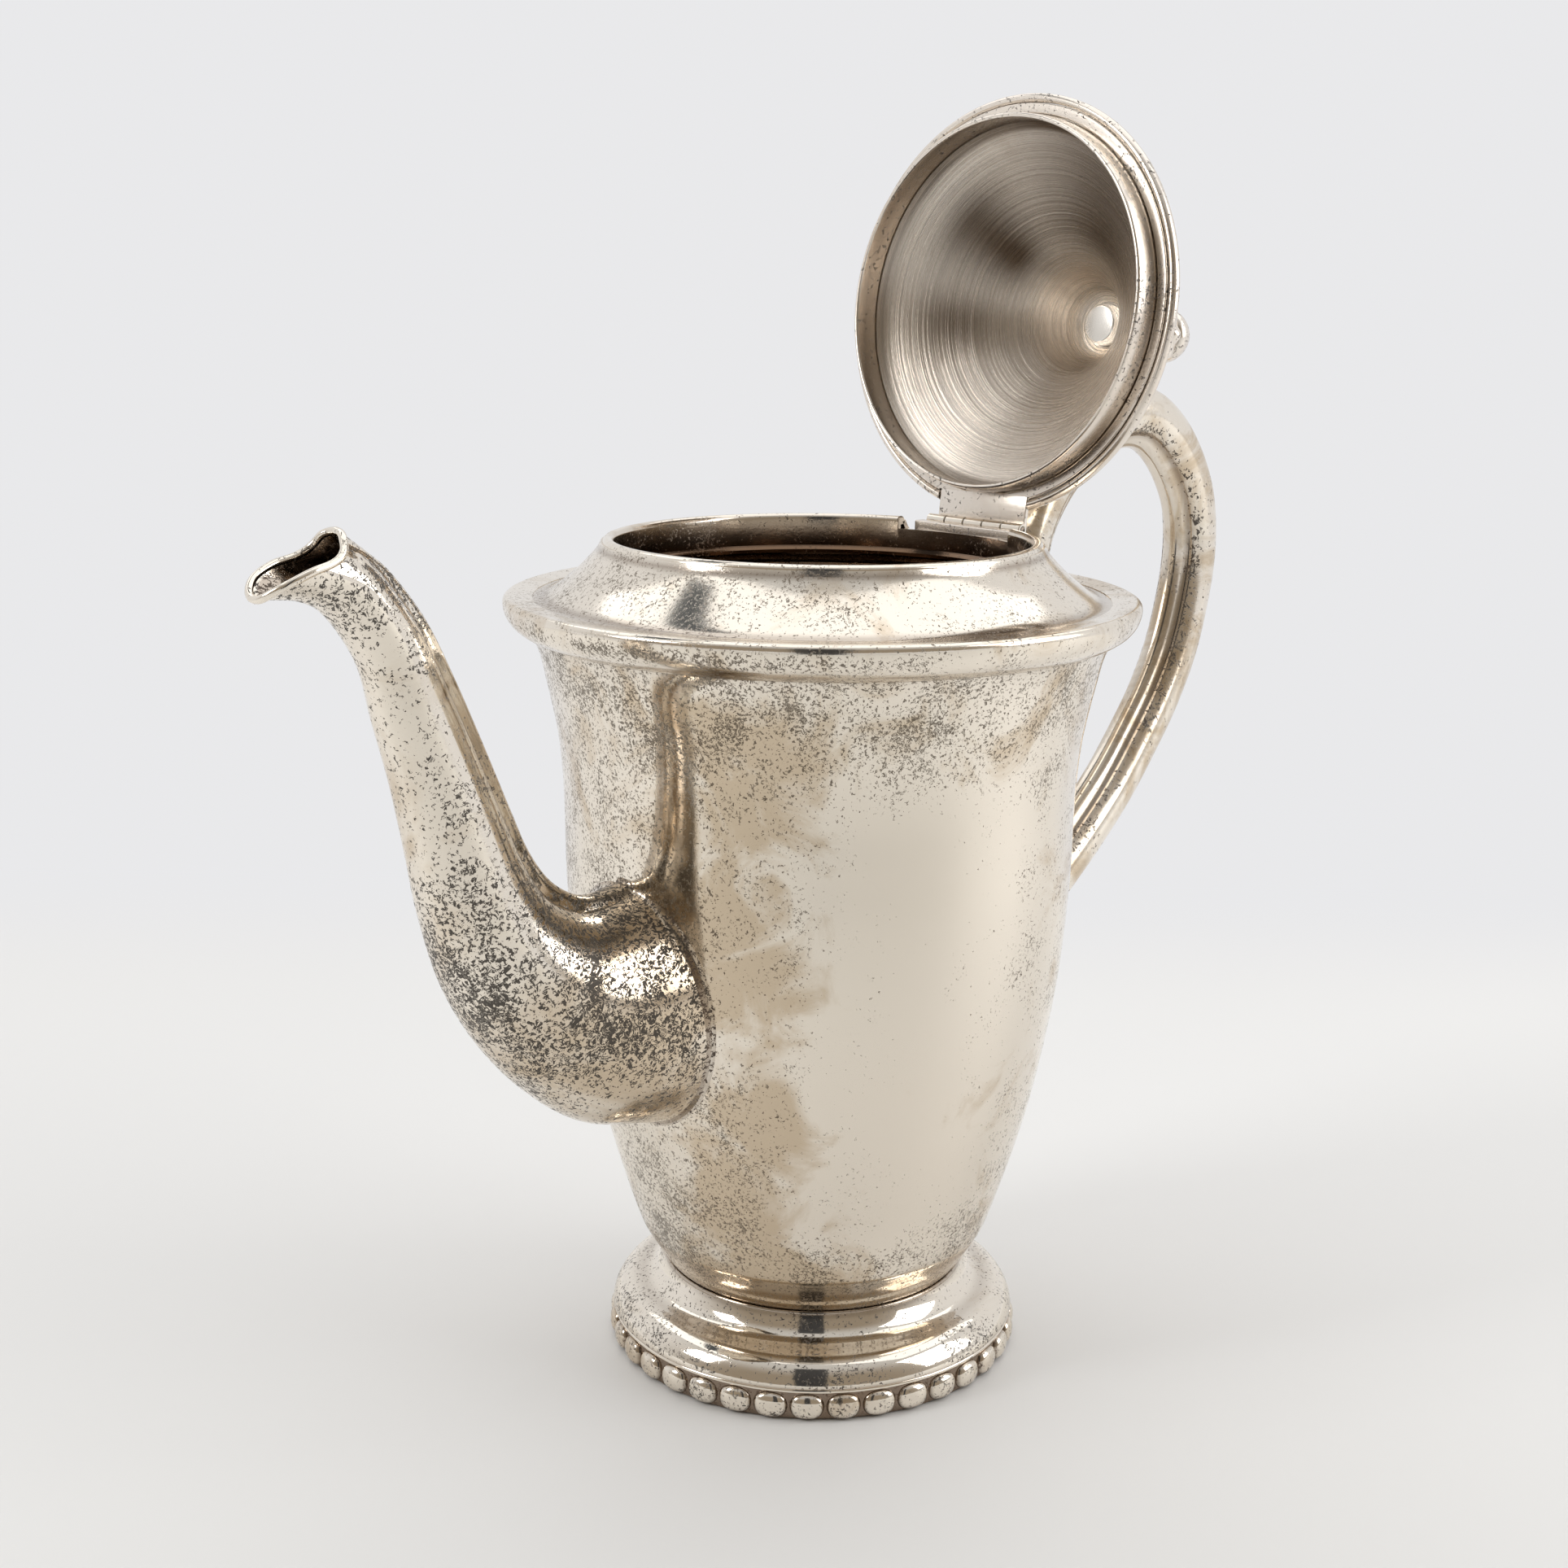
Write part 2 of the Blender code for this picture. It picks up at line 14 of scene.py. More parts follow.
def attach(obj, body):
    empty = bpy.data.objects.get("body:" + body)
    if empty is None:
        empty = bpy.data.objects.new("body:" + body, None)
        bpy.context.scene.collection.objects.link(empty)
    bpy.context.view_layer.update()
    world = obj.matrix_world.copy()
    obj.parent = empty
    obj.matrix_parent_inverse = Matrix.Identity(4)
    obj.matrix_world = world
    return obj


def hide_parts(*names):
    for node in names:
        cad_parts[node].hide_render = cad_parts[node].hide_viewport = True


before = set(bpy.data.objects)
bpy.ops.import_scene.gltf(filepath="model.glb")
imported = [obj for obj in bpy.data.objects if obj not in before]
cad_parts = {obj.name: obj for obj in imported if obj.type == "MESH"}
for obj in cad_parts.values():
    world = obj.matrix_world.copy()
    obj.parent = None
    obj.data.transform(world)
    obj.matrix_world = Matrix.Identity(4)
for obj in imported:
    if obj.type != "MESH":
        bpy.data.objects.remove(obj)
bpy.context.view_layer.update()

MM = 0.001

# Sizes in millimetres
NECK_TOP = 168.5
NECK_BORE = 41.0
LID_SEAT = 168.8
BODY_WALL, NECK_WALL, FOOT_WALL, SPOUT_WALL, HANDLE_WALL = 1.1, 0.9, 0.9, 1.0, 1.0
SPOUT_RIB_HALF = 2.4
HANDLE_RADIUS, HANDLE_RIB, HANDLE_RIB_HALF = 6.2, 2.0, 2.9
HANDLE_MIDDLE = (82.0, 0.0, 142.0)  # inside the handle's loop
HINGE_X, HINGE_Z, HINGE_RADIUS, PIN_RADIUS = 45.6, 167.6, 1.3, 0.6
HINGE_HALF = 13.0
KNUCKLES = 5
LID_LEAF_HALF, POT_LEAF_HALF = 12.0, 13.2
LID_NOTCH_HALF, NECK_NOTCH_HALF = 12.3, 15.6
BEAD_COUNT = 36
BEAD_TURN = math.radians(4.1)  # turns a bead to the front
BEAD_RING, BEAD_LEVEL = 41.0, 2.9
BEAD_DEPTH, BEAD_WIDTH, BEAD_HEIGHT = 2.1, 3.5, 2.8  # half sizes of the scaled ball
LID_OPEN = math.radians(97.0)
ROUND = 256  # facets round a large turned piece
SHARP_EDGE = math.radians(38)

BODY_OUTLINE = [
    (58.2, 151.0), (57.0, 149.1), (55.9, 146.4), (54.6, 141.0), (53.5, 136.0), (52.4, 130.0),
    (51.6, 122.0), (51.3, 113.0), (51.1, 102.0), (50.2, 88.0), (48.8, 76.0), (47.0, 65.5),
    (44.9, 55.0), (42.3, 45.0), (39.9, 37.0), (37.7, 30.2), (36.3, 26.4), (35.4, 24.8),
    (33.1, 21.0), (31.2, 18.1),
]
NECK_OUTLINE = [
    (43.6, 167.6), (44.4, 166.2), (45.4, 165.0), (46.9, 163.4), (48.6, 161.75), (50.3, 160.3),
    (52.0, 158.95), (53.8, 157.75), (55.9, 156.95), (58.6, 157.0), (61.4, 157.35),
]
HANDLE_PATH = [
    (60.5, 159.4), (62.0, 165.0), (66.0, 172.2), (73.0, 179.7), (82.5, 186.2), (93.0, 189.4),
    (102.0, 188.5), (109.5, 184.3), (116.0, 177.5), (120.6, 169.5), (122.5, 161.5), (122.5, 153.0),
    (120.4, 142.6), (116.9, 132.4), (111.0, 122.0), (103.6, 112.4), (95.0, 102.6), (85.0, 93.5),
    (73.0, 84.0), (60.0, 74.0), (42.0, 60.0),
]
# Spout sections: back X, back Z, front X, front Z, half width, rib height
SPOUT_SECTIONS = [
    (-38.0, 107.5, -38.0, 57.0, 19.0, 0.8),
    (-50.5, 106.6, -50.5, 59.9, 18.3, 1.0),
    (-57.0, 105.4, -63.5, 63.5, 17.0, 1.5),
    (-62.5, 105.2, -74.8, 72.0, 15.4, 2.1),
    (-68.1, 107.4, -84.2, 82.9, 13.6, 2.6),
    (-72.8, 111.1, -91.1, 95.1, 11.8, 3.0),
    (-76.9, 117.4, -95.7, 109.3, 10.1, 2.9),
    (-80.2, 124.9, -98.0, 120.2, 9.0, 2.8),
    (-86.0, 138.6, -101.0, 133.4, 7.7, 2.6),
    (-91.3, 150.6, -104.2, 144.6, 6.8, 2.4),
    (-96.4, 161.0, -106.9, 154.9, 6.2, 2.1),
    (-102.3, 169.4, -112.6, 163.6, 6.2, 1.6),
    (-106.4, 173.8, -118.2, 167.0, 6.2, 0.9),
]
# One side of the spout's mouth, from its raised back over the waist to the drooping tip
MOUTH_RIM = [
    (-110.5, 0.0, 177.8), (-110.7, 1.6, 177.6), (-111.3, 3.2, 177.0), (-112.1, 4.7, 175.4),
    (-113.4, 5.5, 174.2), (-115.2, 5.9, 173.4), (-119.0, 6.2, 172.5), (-122.8, 5.5, 170.9),
    (-125.2, 3.5, 169.3), (-126.1, 1.5, 168.3), (-126.2, 0.0, 168.1),
]
MOUTH_MIDDLE = (-118.3, 0.0, 172.5)


# Shaping helpers


def flowing(through, step):
    """A smooth line through the points, sampled about every step."""
    pts = points(*through)
    ends = [pts[0] * 2 - pts[1]] + pts + [pts[-1] * 2 - pts[-2]]
    line = []
    for a, b, c, d in zip(ends, ends[1:], ends[2:], ends[3:]):
        ta = 0.0
        tb = ta + max((b - a).length, 1e-6) ** 0.5
        tc = tb + max((c - b).length, 1e-6) ** 0.5
        td = tc + max((d - c).length, 1e-6) ** 0.5
        count = max(2, round((c - b).length / step))
        for i in range(count):
            t = tb + (tc - tb) * i / count
            ab = a * ((tb - t) / (tb - ta)) + b * ((t - ta) / (tb - ta))
            bc = b * ((tc - t) / (tc - tb)) + c * ((t - tb) / (tc - tb))
            cd = c * ((td - t) / (td - tc)) + d * ((t - tc) / (td - tc))
            abc = ab * ((tc - t) / (tc - ta)) + bc * ((t - ta) / (tc - ta))
            bcd = bc * ((td - t) / (td - tb)) + cd * ((t - tb) / (td - tb))
            line.append(abc * ((tc - t) / (tc - tb)) + bcd * ((t - tb) / (tc - tb)))
    line.append(pts[-1])
    return line


def points(*pairs):
    return [Vector(pair) for pair in pairs]


def placed(name, data):
    """A new object in the scene."""
    obj = bpy.data.objects.new(name, data)
    bpy.context.scene.collection.objects.link(obj)
    return obj


def meshed(name, cage):
    """The mesh of a finished cage."""
    mesh = bpy.data.meshes.new(name)
    cage.to_mesh(mesh)
    cage.free()
    return mesh


def arc(centre, radius, start, end, steps):
    """Part of a circle in the (radius, height) plane; degrees run from outwards to up."""
    turns = [math.radians(start + (end - start) * i / steps) for i in range(steps + 1)]
    return [Vector((centre[0] + radius * math.cos(t), centre[1] + radius * math.sin(t))) for t in turns]


def softened(corners, radius, steps=5):
    """A closed outline with each corner rounded off."""
    pts = points(*corners)
    out = []
    for before, corner, after in zip(pts[-1:] + pts[:-1], pts, pts[1:] + pts[:1]):
        reach = min(radius, (before - corner).length * 0.45, (after - corner).length * 0.45)
        a = corner + (before - corner).normalized() * reach
        b = corner + (after - corner).normalized() * reach
        for i in range(steps + 1):
            t = i / steps
            out.append(a * (1 - t) ** 2 + corner * (2 * t * (1 - t)) + b * t * t)
    return out


def inset(outline, distance):
    """The outline moved towards the axis along its own normals."""
    moved = []
    for i, p in enumerate(outline):
        along = (outline[min(i + 1, len(outline) - 1)] - outline[max(i - 1, 0)]).normalized()
        moved.append(Vector((max(p.x + along.y * distance, 0.0), p.y - along.x * distance)))
    return moved


def skin(name, rows, close_rows=False, cap_start=False, cap_end=False):
    """Closed rings of points joined into one surface, with a UV map of turn and length.

    Row points are in millimetres. The outward side is to the left when the rings run
    anticlockwise about the direction of travel; normals are settled afterwards.
    """
    mesh = bpy.data.meshes.new(name)
    around = len(rows[0])
    verts = [tuple(c * MM for c in p) for row in rows for p in row]
    faces, uvs = [], []
    lengths = [0.0]
    for a, b in zip(rows, rows[1:] + (rows[:1] if close_rows else [])):
        lengths.append(lengths[-1] + (Vector(a[0]) - Vector(b[0])).length)
    count = len(rows)
    for i in range(count if close_rows else count - 1):
        k = (i + 1) % count
        for j in range(around):
            m = (j + 1) % around
            faces.append((i * around + j, i * around + m, k * around + m, k * around + j))
            u0, u1 = j / around, (j + 1) / around
            v0, v1 = lengths[i] / 100, lengths[i + 1] / 100
            uvs.append(((u0, v0), (u1, v0), (u1, v1), (u0, v1)))
    if cap_start:
        faces.append(tuple(range(around))[::-1])
        uvs.append(tuple((0.0, 0.0) for _ in range(around)))
    if cap_end:
        faces.append(tuple((count - 1) * around + j for j in range(around)))
        uvs.append(tuple((0.0, lengths[-1] / 100) for _ in range(around)))
    mesh.from_pydata(verts, [], faces)
    layer = mesh.uv_layers.new(name="turn_and_length")
    flat = [c for face in uvs for uv in face for c in uv]
    layer.data.foreach_set("uv", flat)
    return settle(mesh)


def settle(mesh):
    """Merges poles, turns all faces outwards and shades the surface smooth."""
    cage = bmesh.new()
    cage.from_mesh(mesh)
    bmesh.ops.remove_doubles(cage, verts=cage.verts, dist=0.000002)
    bmesh.ops.dissolve_degenerate(cage, edges=cage.edges, dist=0.000001)
    bmesh.ops.recalc_face_normals(cage, faces=cage.faces)
    cage.to_mesh(mesh)
    cage.free()
    mesh.shade_smooth()
    mesh.set_sharp_from_angle(angle=SHARP_EDGE)
    return mesh


def turned(name, section, segments=ROUND, closed=True):
    """A (radius, height) outline swept round Z. An open one starts and ends on the axis."""
    rows = []
    for p in section:
        r, z = max(p[0], 0.0), p[1]
        turns = [math.tau * j / segments for j in range(segments)]
        rows.append([(r * math.cos(t), r * math.sin(t), z) for t in turns])
    return skin(name, rows, close_rows=closed)


def drawn_tube(name, line, radius, sides=12):
    """A round wire along a closed line of 3-D points."""
    rows = []
    side = Vector((0, 0, 1))
    turns = [math.tau * j / sides for j in range(sides)]
    for before, p, after in zip(line[-1:] + line[:-1], line, line[1:] + line[:1]):
        along = (after - before).normalized()
        side = (side - along * side.dot(along)).normalized()
        across = along.cross(side)
        rows.append([p + (side * math.cos(t) + across * math.sin(t)) * radius for t in turns])
    return skin(name, rows, close_rows=True)


def bar(name, low, high, bevel):
    """A rectangular piece with its edges softened by the bevel, sizes in millimetres."""
    cage = bmesh.new()
    bmesh.ops.create_cube(cage, size=1.0)
    size = (Vector(high) - Vector(low)) * MM
    bmesh.ops.scale(cage, vec=size, verts=cage.verts)
    bmesh.ops.translate(cage, vec=(Vector(low) + Vector(high)) / 2 * MM, verts=cage.verts)
    if bevel:
        bmesh.ops.bevel(
            cage, geom=cage.edges[:], offset=bevel * MM, segments=3, profile=0.5, affect="EDGES"
        )
    return settle(meshed(name, cage))


def drawn_bar(name, outline, half_length):
    """An (X, Z) outline drawn out along Y on both sides."""
    rows = [[(p[0], y, p[1]) for p in outline] for y in (-half_length, half_length)]
    return skin(name, rows, cap_start=True, cap_end=True)


def paint(mesh, name, rule):
    """Stores rule(point in millimetres) on each vertex, for a finish to read."""
    attribute = mesh.attributes.new(name, "FLOAT", "POINT")
    values = [rule(v.co / MM) for v in mesh.vertices]
    attribute.data.foreach_set("value", values)


def cut_away(mesh, low, high):
    """Cuts a rectangular notch out of a mesh, sizes in millimetres."""
    obj = placed("blank", mesh)
    tool = placed("notch", bar("notch", low, high, bevel=0.0))
    step = obj.modifiers.new("notch", "BOOLEAN")
    step.operation = "DIFFERENCE"
    step.solver = "EXACT"
    step.object = tool
    result = evaluated(obj)
    bpy.data.objects.remove(obj)
    bpy.data.objects.remove(tool)
    result.shade_smooth()
    result.set_sharp_from_angle(angle=SHARP_EDGE)
    return result


def evaluated(obj):
    """The plain mesh that an object's modifiers make."""
    bpy.context.view_layer.update()
    graph = bpy.context.evaluated_depsgraph_get()
    return bpy.data.meshes.new_from_object(obj.evaluated_get(graph))


OPENING = (
    Matrix.Translation((HINGE_X * MM, 0, HINGE_Z * MM))
    @ Matrix.Rotation(LID_OPEN, 4, "Y")
    @ Matrix.Translation((-HINGE_X * MM, 0, -HINGE_Z * MM))
)


def fit(name, mesh, finish, body, slot, *nodes):
    """Puts a finished mesh on its body in place of the frame's nodes."""
    mesh.materials.clear()
    mesh.materials.append(finish)
    obj = placed(name, mesh)
    if body == "lid":
        mesh.transform(OPENING)
    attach(obj, body)
    if nodes:
        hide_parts(*nodes)
    return obj


def near(value, centre, reach):
    """1 at the centre, fading to nothing a few reaches away."""
    return math.exp(-(((value - centre) / reach) ** 2))


def ease(value, low, high):
    """0 below low, 1 above high, smooth between."""
    t = min(max((value - low) / (high - low), 0.0), 1.0)
    return t * t * (3 - 2 * t)


# Finishes


def blank_finish(name):
    """A new material with its node tree and its shader."""
    material = bpy.data.materials.new(name)
    material.use_nodes = True
    tree = material.node_tree
    return material, tree, tree.nodes["Principled BSDF"]


def node(tree, kind, links=None, **settings):
    """One shader node; links are its input sockets' values or the sockets that feed them."""
    made = tree.nodes.new(kind)
    for key, value in settings.items():
        setattr(made, key, value)
    for key, value in (links or {}).items():
        socket = made.inputs[key]
        if isinstance(value, bpy.types.NodeSocket):
            tree.links.new(value, socket)
        else:
            socket.default_value = value
    return made


def group(name, inputs, outputs):
    """A shared effect with plain number inputs and outputs."""
    tree = bpy.data.node_groups.new(name, "ShaderNodeTree")
    for label, default in inputs.items():
        socket = tree.interface.new_socket(label, in_out="INPUT", socket_type="NodeSocketFloat")
        socket.default_value = default
    for label in outputs:
        tree.interface.new_socket(label, in_out="OUTPUT", socket_type="NodeSocketFloat")
    entry = tree.nodes.new("NodeGroupInput")
    leave = tree.nodes.new("NodeGroupOutput")
    return tree, entry.outputs, leave.inputs


def maths(tree, operation, a, b=0.0, clamp=False):
    made = node(tree, "ShaderNodeMath", {0: a, 1: b}, operation=operation)
    made.use_clamp = clamp
    return made.outputs[0]


def spread(tree, value, low, high, out_low=0.0, out_high=1.0):
    """Eases a value from one range to another."""
    made = node(
        tree, "ShaderNodeMapRange",
        {"Value": value, "From Min": low, "From Max": high, "To Min": out_low, "To Max": out_high},
        interpolation_type="SMOOTHSTEP",
    )
    return made.outputs["Result"]


def tarnish_specks():
    """Fine ragged dark specks that gather into clusters. Density runs from none to dense."""
    tree, given, made = group("tarnish_specks", {"Density": 0.5, "Grain": 900.0}, ["Mask"])
    place = node(tree, "ShaderNodeTexCoord").outputs["Object"]

    def cloud(times, detail, roughness, distortion):
        scale = maths(tree, "MULTIPLY", given["Grain"], times)
        settings = {
            "Vector": place, "Scale": scale, "Detail": detail, "Roughness": roughness,
            "Distortion": distortion,
        }
        return node(tree, "ShaderNodeTexNoise", settings).outputs["Fac"]

    worm = cloud(1.0, 3.0, 0.62, 1.4)
    grain = cloud(1.7, 2.0, 0.5, 0.0)
    cluster = maths(tree, "SUBTRACT", cloud(0.11, 5.0, 0.6, 0.5), 0.5)
    density = given["Density"]
    thick = maths(tree, "POWER", density, 2.5)
    inner_edge = maths(tree, "ADD", maths(tree, "MULTIPLY", thick, 0.065), 0.018)
    outer_edge = maths(tree, "ADD", inner_edge, 0.022)
    off_line = maths(tree, "ABSOLUTE", maths(tree, "SUBTRACT", worm, 0.5))
    line = spread(tree, off_line, inner_edge, outer_edge, 1.0, 0.0)
    level = maths(tree, "ADD", grain, maths(tree, "MULTIPLY", cluster, 0.62))
    start = maths(tree, "SUBTRACT", 0.80, maths(tree, "MULTIPLY", density, 0.44))
    patch = spread(tree, level, start, maths(tree, "ADD", start, 0.05))
    spot_level = maths(tree, "ADD", worm, maths(tree, "MULTIPLY", cluster, 0.55))
    spot_start = maths(tree, "SUBTRACT", 0.84, maths(tree, "MULTIPLY", density, 0.23))
    spot = spread(tree, spot_level, spot_start, maths(tree, "ADD", spot_start, 0.03))
    mask = maths(tree, "MAXIMUM", maths(tree, "MULTIPLY", line, patch), spot)
    tree.links.new(mask, made["Mask"])
    return tree


def cloudy_film():
    """Soft patches of yellow-brown bloom."""
    tree, given, made = group("cloudy_film", {"Amount": 0.5, "Size": 30.0}, ["Mask"])
    place = node(tree, "ShaderNodeTexCoord").outputs["Object"]
    cloud = node(
        tree, "ShaderNodeTexNoise",
        {"Vector": place, "Scale": given["Size"], "Detail": 7.0, "Roughness": 0.62, "Distortion": 0.8},
    ).outputs["Fac"]
    floor = maths(tree, "SUBTRACT", 0.80, maths(tree, "MULTIPLY", given["Amount"], 0.55))
    top = maths(tree, "ADD", floor, 0.22)
    tree.links.new(spread(tree, cloud, floor, top), made["Mask"])
    return tree


def wiping_marks():
    """Fine crossing polish lines, as a height."""
    tree, given, made = group("wiping_marks", {"Scale": 60.0}, ["Height"])
    place = node(tree, "ShaderNodeTexCoord").outputs["Object"]
    total = None
    strokes = (((0.3, 0.2, 0.5), (1.0, 22.0, 22.0)), ((1.1, 0.6, 1.9), (18.0, 1.0, 18.0)))
    for turn, stretch in strokes:
        mapped = node(
            tree, "ShaderNodeMapping", {"Vector": place, "Rotation": turn, "Scale": stretch}
        ).outputs[0]
        lines = node(
            tree, "ShaderNodeTexNoise",
            {"Vector": mapped, "Scale": given["Scale"], "Detail": 3.0, "Roughness": 0.6},
        ).outputs["Fac"]
        total = lines if total is None else maths(tree, "ADD", total, lines)
    tree.links.new(total, made["Height"])
    return tree


SPECKS, FILM, MARKS = tarnish_specks(), cloudy_film(), wiping_marks()


def use(tree, shared, **values):
    """Places a shared effect in a material and gives back its output."""
    made = tree.nodes.new("ShaderNodeGroup")
    made.node_tree = shared
    for key, value in values.items():
        if isinstance(value, bpy.types.NodeSocket):
            tree.links.new(value, made.inputs[key])
        else:
            made.inputs[key].default_value = value
    return made.outputs[0]


def blend(tree, factor, a, b):
    made = node(tree, "ShaderNodeMix", data_type="RGBA")
    for socket, value in ((made.inputs[0], factor), (made.inputs[6], a), (made.inputs[7], b)):
        if isinstance(value, bpy.types.NodeSocket):
            tree.links.new(value, socket)
        else:
            socket.default_value = value if isinstance(value, float) else (*value, 1.0)
    return made.outputs[2]


def stored(tree, name):
    return node(tree, "ShaderNodeAttribute", attribute_name=name).outputs["Fac"]


CLEAN = (0.89, 0.818, 0.715)
BLOOM = (0.58, 0.45, 0.30)
BLACK = (0.030, 0.023, 0.017)
BROWN = (0.085, 0.062, 0.036)
COPPER = (0.150, 0.092, 0.056)
# SPUN_BRIGHT is the spun silver's own colour; the dark colour beside it is for the painted reflections
# and painted shade inside the dome.
SPUN_BRIGHT, SPUN_PAINTED_SHADE = (0.94, 0.86, 0.765), (0.16, 0.115, 0.08)
SPUN_SMOKE, SPUN_GROOVE = (0.42, 0.33, 0.25), (0.20, 0.155, 0.12)


def silver(name, clean=CLEAN, bloom=BLOOM, rough=0.2, density=0.3, film=0.3, grain=700.0,
           size=30.0, marks=0.05, painted=False, dirt=0.94, speckled=BLACK):
    """Polished silver with bloom, specks and wiping marks.

    A painted finish takes its speck density, film, brown tint and dullness from the mesh; the brown
    tint is dirt on most parts and painted shade on some.
    """
    material, tree, shader = blank_finish(name)
    density_in = stored(tree, "specks") if painted else density
    film_in = stored(tree, "film") if painted else film
    speck = use(tree, SPECKS, Density=density_in, Grain=grain)
    haze = use(tree, FILM, Amount=film_in, Size=size)
    line = use(tree, MARKS, Scale=60.0)
    colour = blend(tree, maths(tree, "MULTIPLY", haze, 0.75), clean, bloom)
    colour = blend(tree, maths(tree, "MULTIPLY", speck, dirt), colour, speckled)
    rough_now = maths(tree, "ADD", maths(tree, "MULTIPLY", haze, 0.05), rough)
    rough_now = maths(tree, "ADD", rough_now, maths(tree, "MULTIPLY", speck, 0.35))
    if painted:
        # Browns the colour by a stored amount: real dirt on most parts, painted shade on the collar's
        # bore and on the spout's side towards the body.
        grime_and_shade = stored(tree, "grime_and_shade")
        colour = blend(tree, grime_and_shade, colour, COPPER)
        dull = maths(tree, "MULTIPLY", stored(tree, "dull"), 0.14)
        rough_now = maths(tree, "ADD", rough_now, dull)
    tree.links.new(colour, shader.inputs["Base Color"])
    tree.links.new(rough_now, shader.inputs["Roughness"])
    metal = maths(tree, "SUBTRACT", 1.0, maths(tree, "MULTIPLY", speck, 0.8))
    tree.links.new(metal, shader.inputs["Metallic"])
    height = maths(tree, "ADD", maths(tree, "MULTIPLY", line, 0.4), maths(tree, "MULTIPLY", speck, 0.5))
    bump = node(
        tree, "ShaderNodeBump", {"Height": height, "Strength": marks, "Distance": 0.0002}
    )
    tree.links.new(bump.outputs[0], shader.inputs["Normal"])
    return material


def spun_silver():
    """The inside of the dome: fine rings from the spinning tool, smoky patches, and painted dark and
    bright reflections with painted shade by the rim.
    """
    material, tree, shader = blank_finish("spun_inside")
    uv = node(tree, "ShaderNodeUVMap", uv_map="turn_and_length").outputs[0]
    split = node(tree, "ShaderNodeSeparateXYZ", {0: uv}).outputs
    length = maths(tree, "MULTIPLY", split[1], 100.0)
    ring_place = node(tree, "ShaderNodeCombineXYZ", {"X": length, "Y": 0.0}).outputs[0]
    rings = node(
        tree, "ShaderNodeTexNoise",
        {"Vector": ring_place, "Scale": 1.3, "Detail": 5.0, "Roughness": 0.8},
    ).outputs["Fac"]
    smoke = use(tree, FILM, Amount=0.55, Size=34.0)
    # The stored shade is painted light: it darkens the spun colour for painted dark reflections and a
    # painted shadow by the rim, and its low values give painted highlights.
    shade = stored(tree, "shade")
    colour = blend(tree, shade, SPUN_BRIGHT, SPUN_PAINTED_SHADE)
    colour = blend(tree, maths(tree, "MULTIPLY", smoke, 0.22), colour, SPUN_SMOKE)
    colour = blend(tree, spread(tree, rings, 0.40, 0.62, 0.0, 0.20), colour, SPUN_GROOVE)
    tree.links.new(colour, shader.inputs["Base Color"])
    shader.inputs["Metallic"].default_value = 1.0
    tree.links.new(spread(tree, rings, 0.3, 0.7, 0.20, 0.32), shader.inputs["Roughness"])
    shader.inputs["Anisotropic"].default_value = 0.8
    tangent = node(tree, "ShaderNodeTangent", direction_type="UV_MAP", uv_map="turn_and_length")
    tree.links.new(tangent.outputs[0], shader.inputs["Tangent"])
    bump = node(tree, "ShaderNodeBump", {"Height": rings, "Strength": 0.5, "Distance": 0.0004})
    tree.links.new(bump.outputs[0], shader.inputs["Normal"])
    return material


BODY_FINISH = silver("body_silver", rough=0.055, painted=True, grain=900.0, size=60.0, marks=0.10,
                     dirt=0.85, speckled=BROWN)
SPOUT_FINISH = silver("spout_silver", rough=0.10, painted=True, grain=690.0, marks=0.12)
NECK_FINISH = silver("neck_silver", rough=0.13, painted=True, grain=900.0, size=50.0, marks=0.12,
                     dirt=0.85, speckled=BROWN)
FOOT_FINISH = silver("foot_silver", rough=0.07, painted=True, grain=800.0, marks=0.06)
HANDLE_FINISH = silver("handle_silver", rough=0.15, painted=True, grain=600.0, size=70.0, marks=0.10)
PLAIN_FINISH = silver("plain_silver", rough=0.17, density=0.35, film=0.5, marks=0.15)
LIP_FINISH = silver("lip_silver", rough=0.13, painted=True, grain=900.0, marks=0.1)
BEAD_FINISH = silver("bead_silver", rough=0.10, painted=True, grain=900.0, marks=0.08)
GRIMY_FINISH = silver("grimy_silver", bloom=(0.20, 0.14, 0.09), rough=0.4, density=0.8, film=1.2)
LID_FINISH = silver("lid_silver", clean=(0.84, 0.77, 0.69), bloom=(0.58, 0.47, 0.37), rough=0.24,
                    density=0.45, film=0.5, marks=0.15)
BRIGHT_FINISH = silver("bright_silver", clean=(0.95, 0.92, 0.87), rough=0.22, density=0.1, film=0.1)
SPUN_FINISH = spun_silver()


# Body, shoulder and neck

BODY_LINE = flowing(BODY_OUTLINE, 0.9)


def body_radius(height):
    """The body's outside radius at a height."""
    for upper, lower in zip(BODY_LINE, BODY_LINE[1:]):
        if upper.y >= height >= lower.y:
            t = (height - lower.y) / max(upper.y - lower.y, 1e-6)
            return lower.x + (upper.x - lower.x) * t
    return BODY_LINE[0].x if height > BODY_LINE[0].y else BODY_LINE[-1].x


def bearing(p):
    """Degrees round the axis from the side that faces the front, positive towards the handle."""
    angle = math.degrees(math.atan2(p.y, p.x)) + 135.0
    return (angle + 180.0) % 360.0 - 180.0


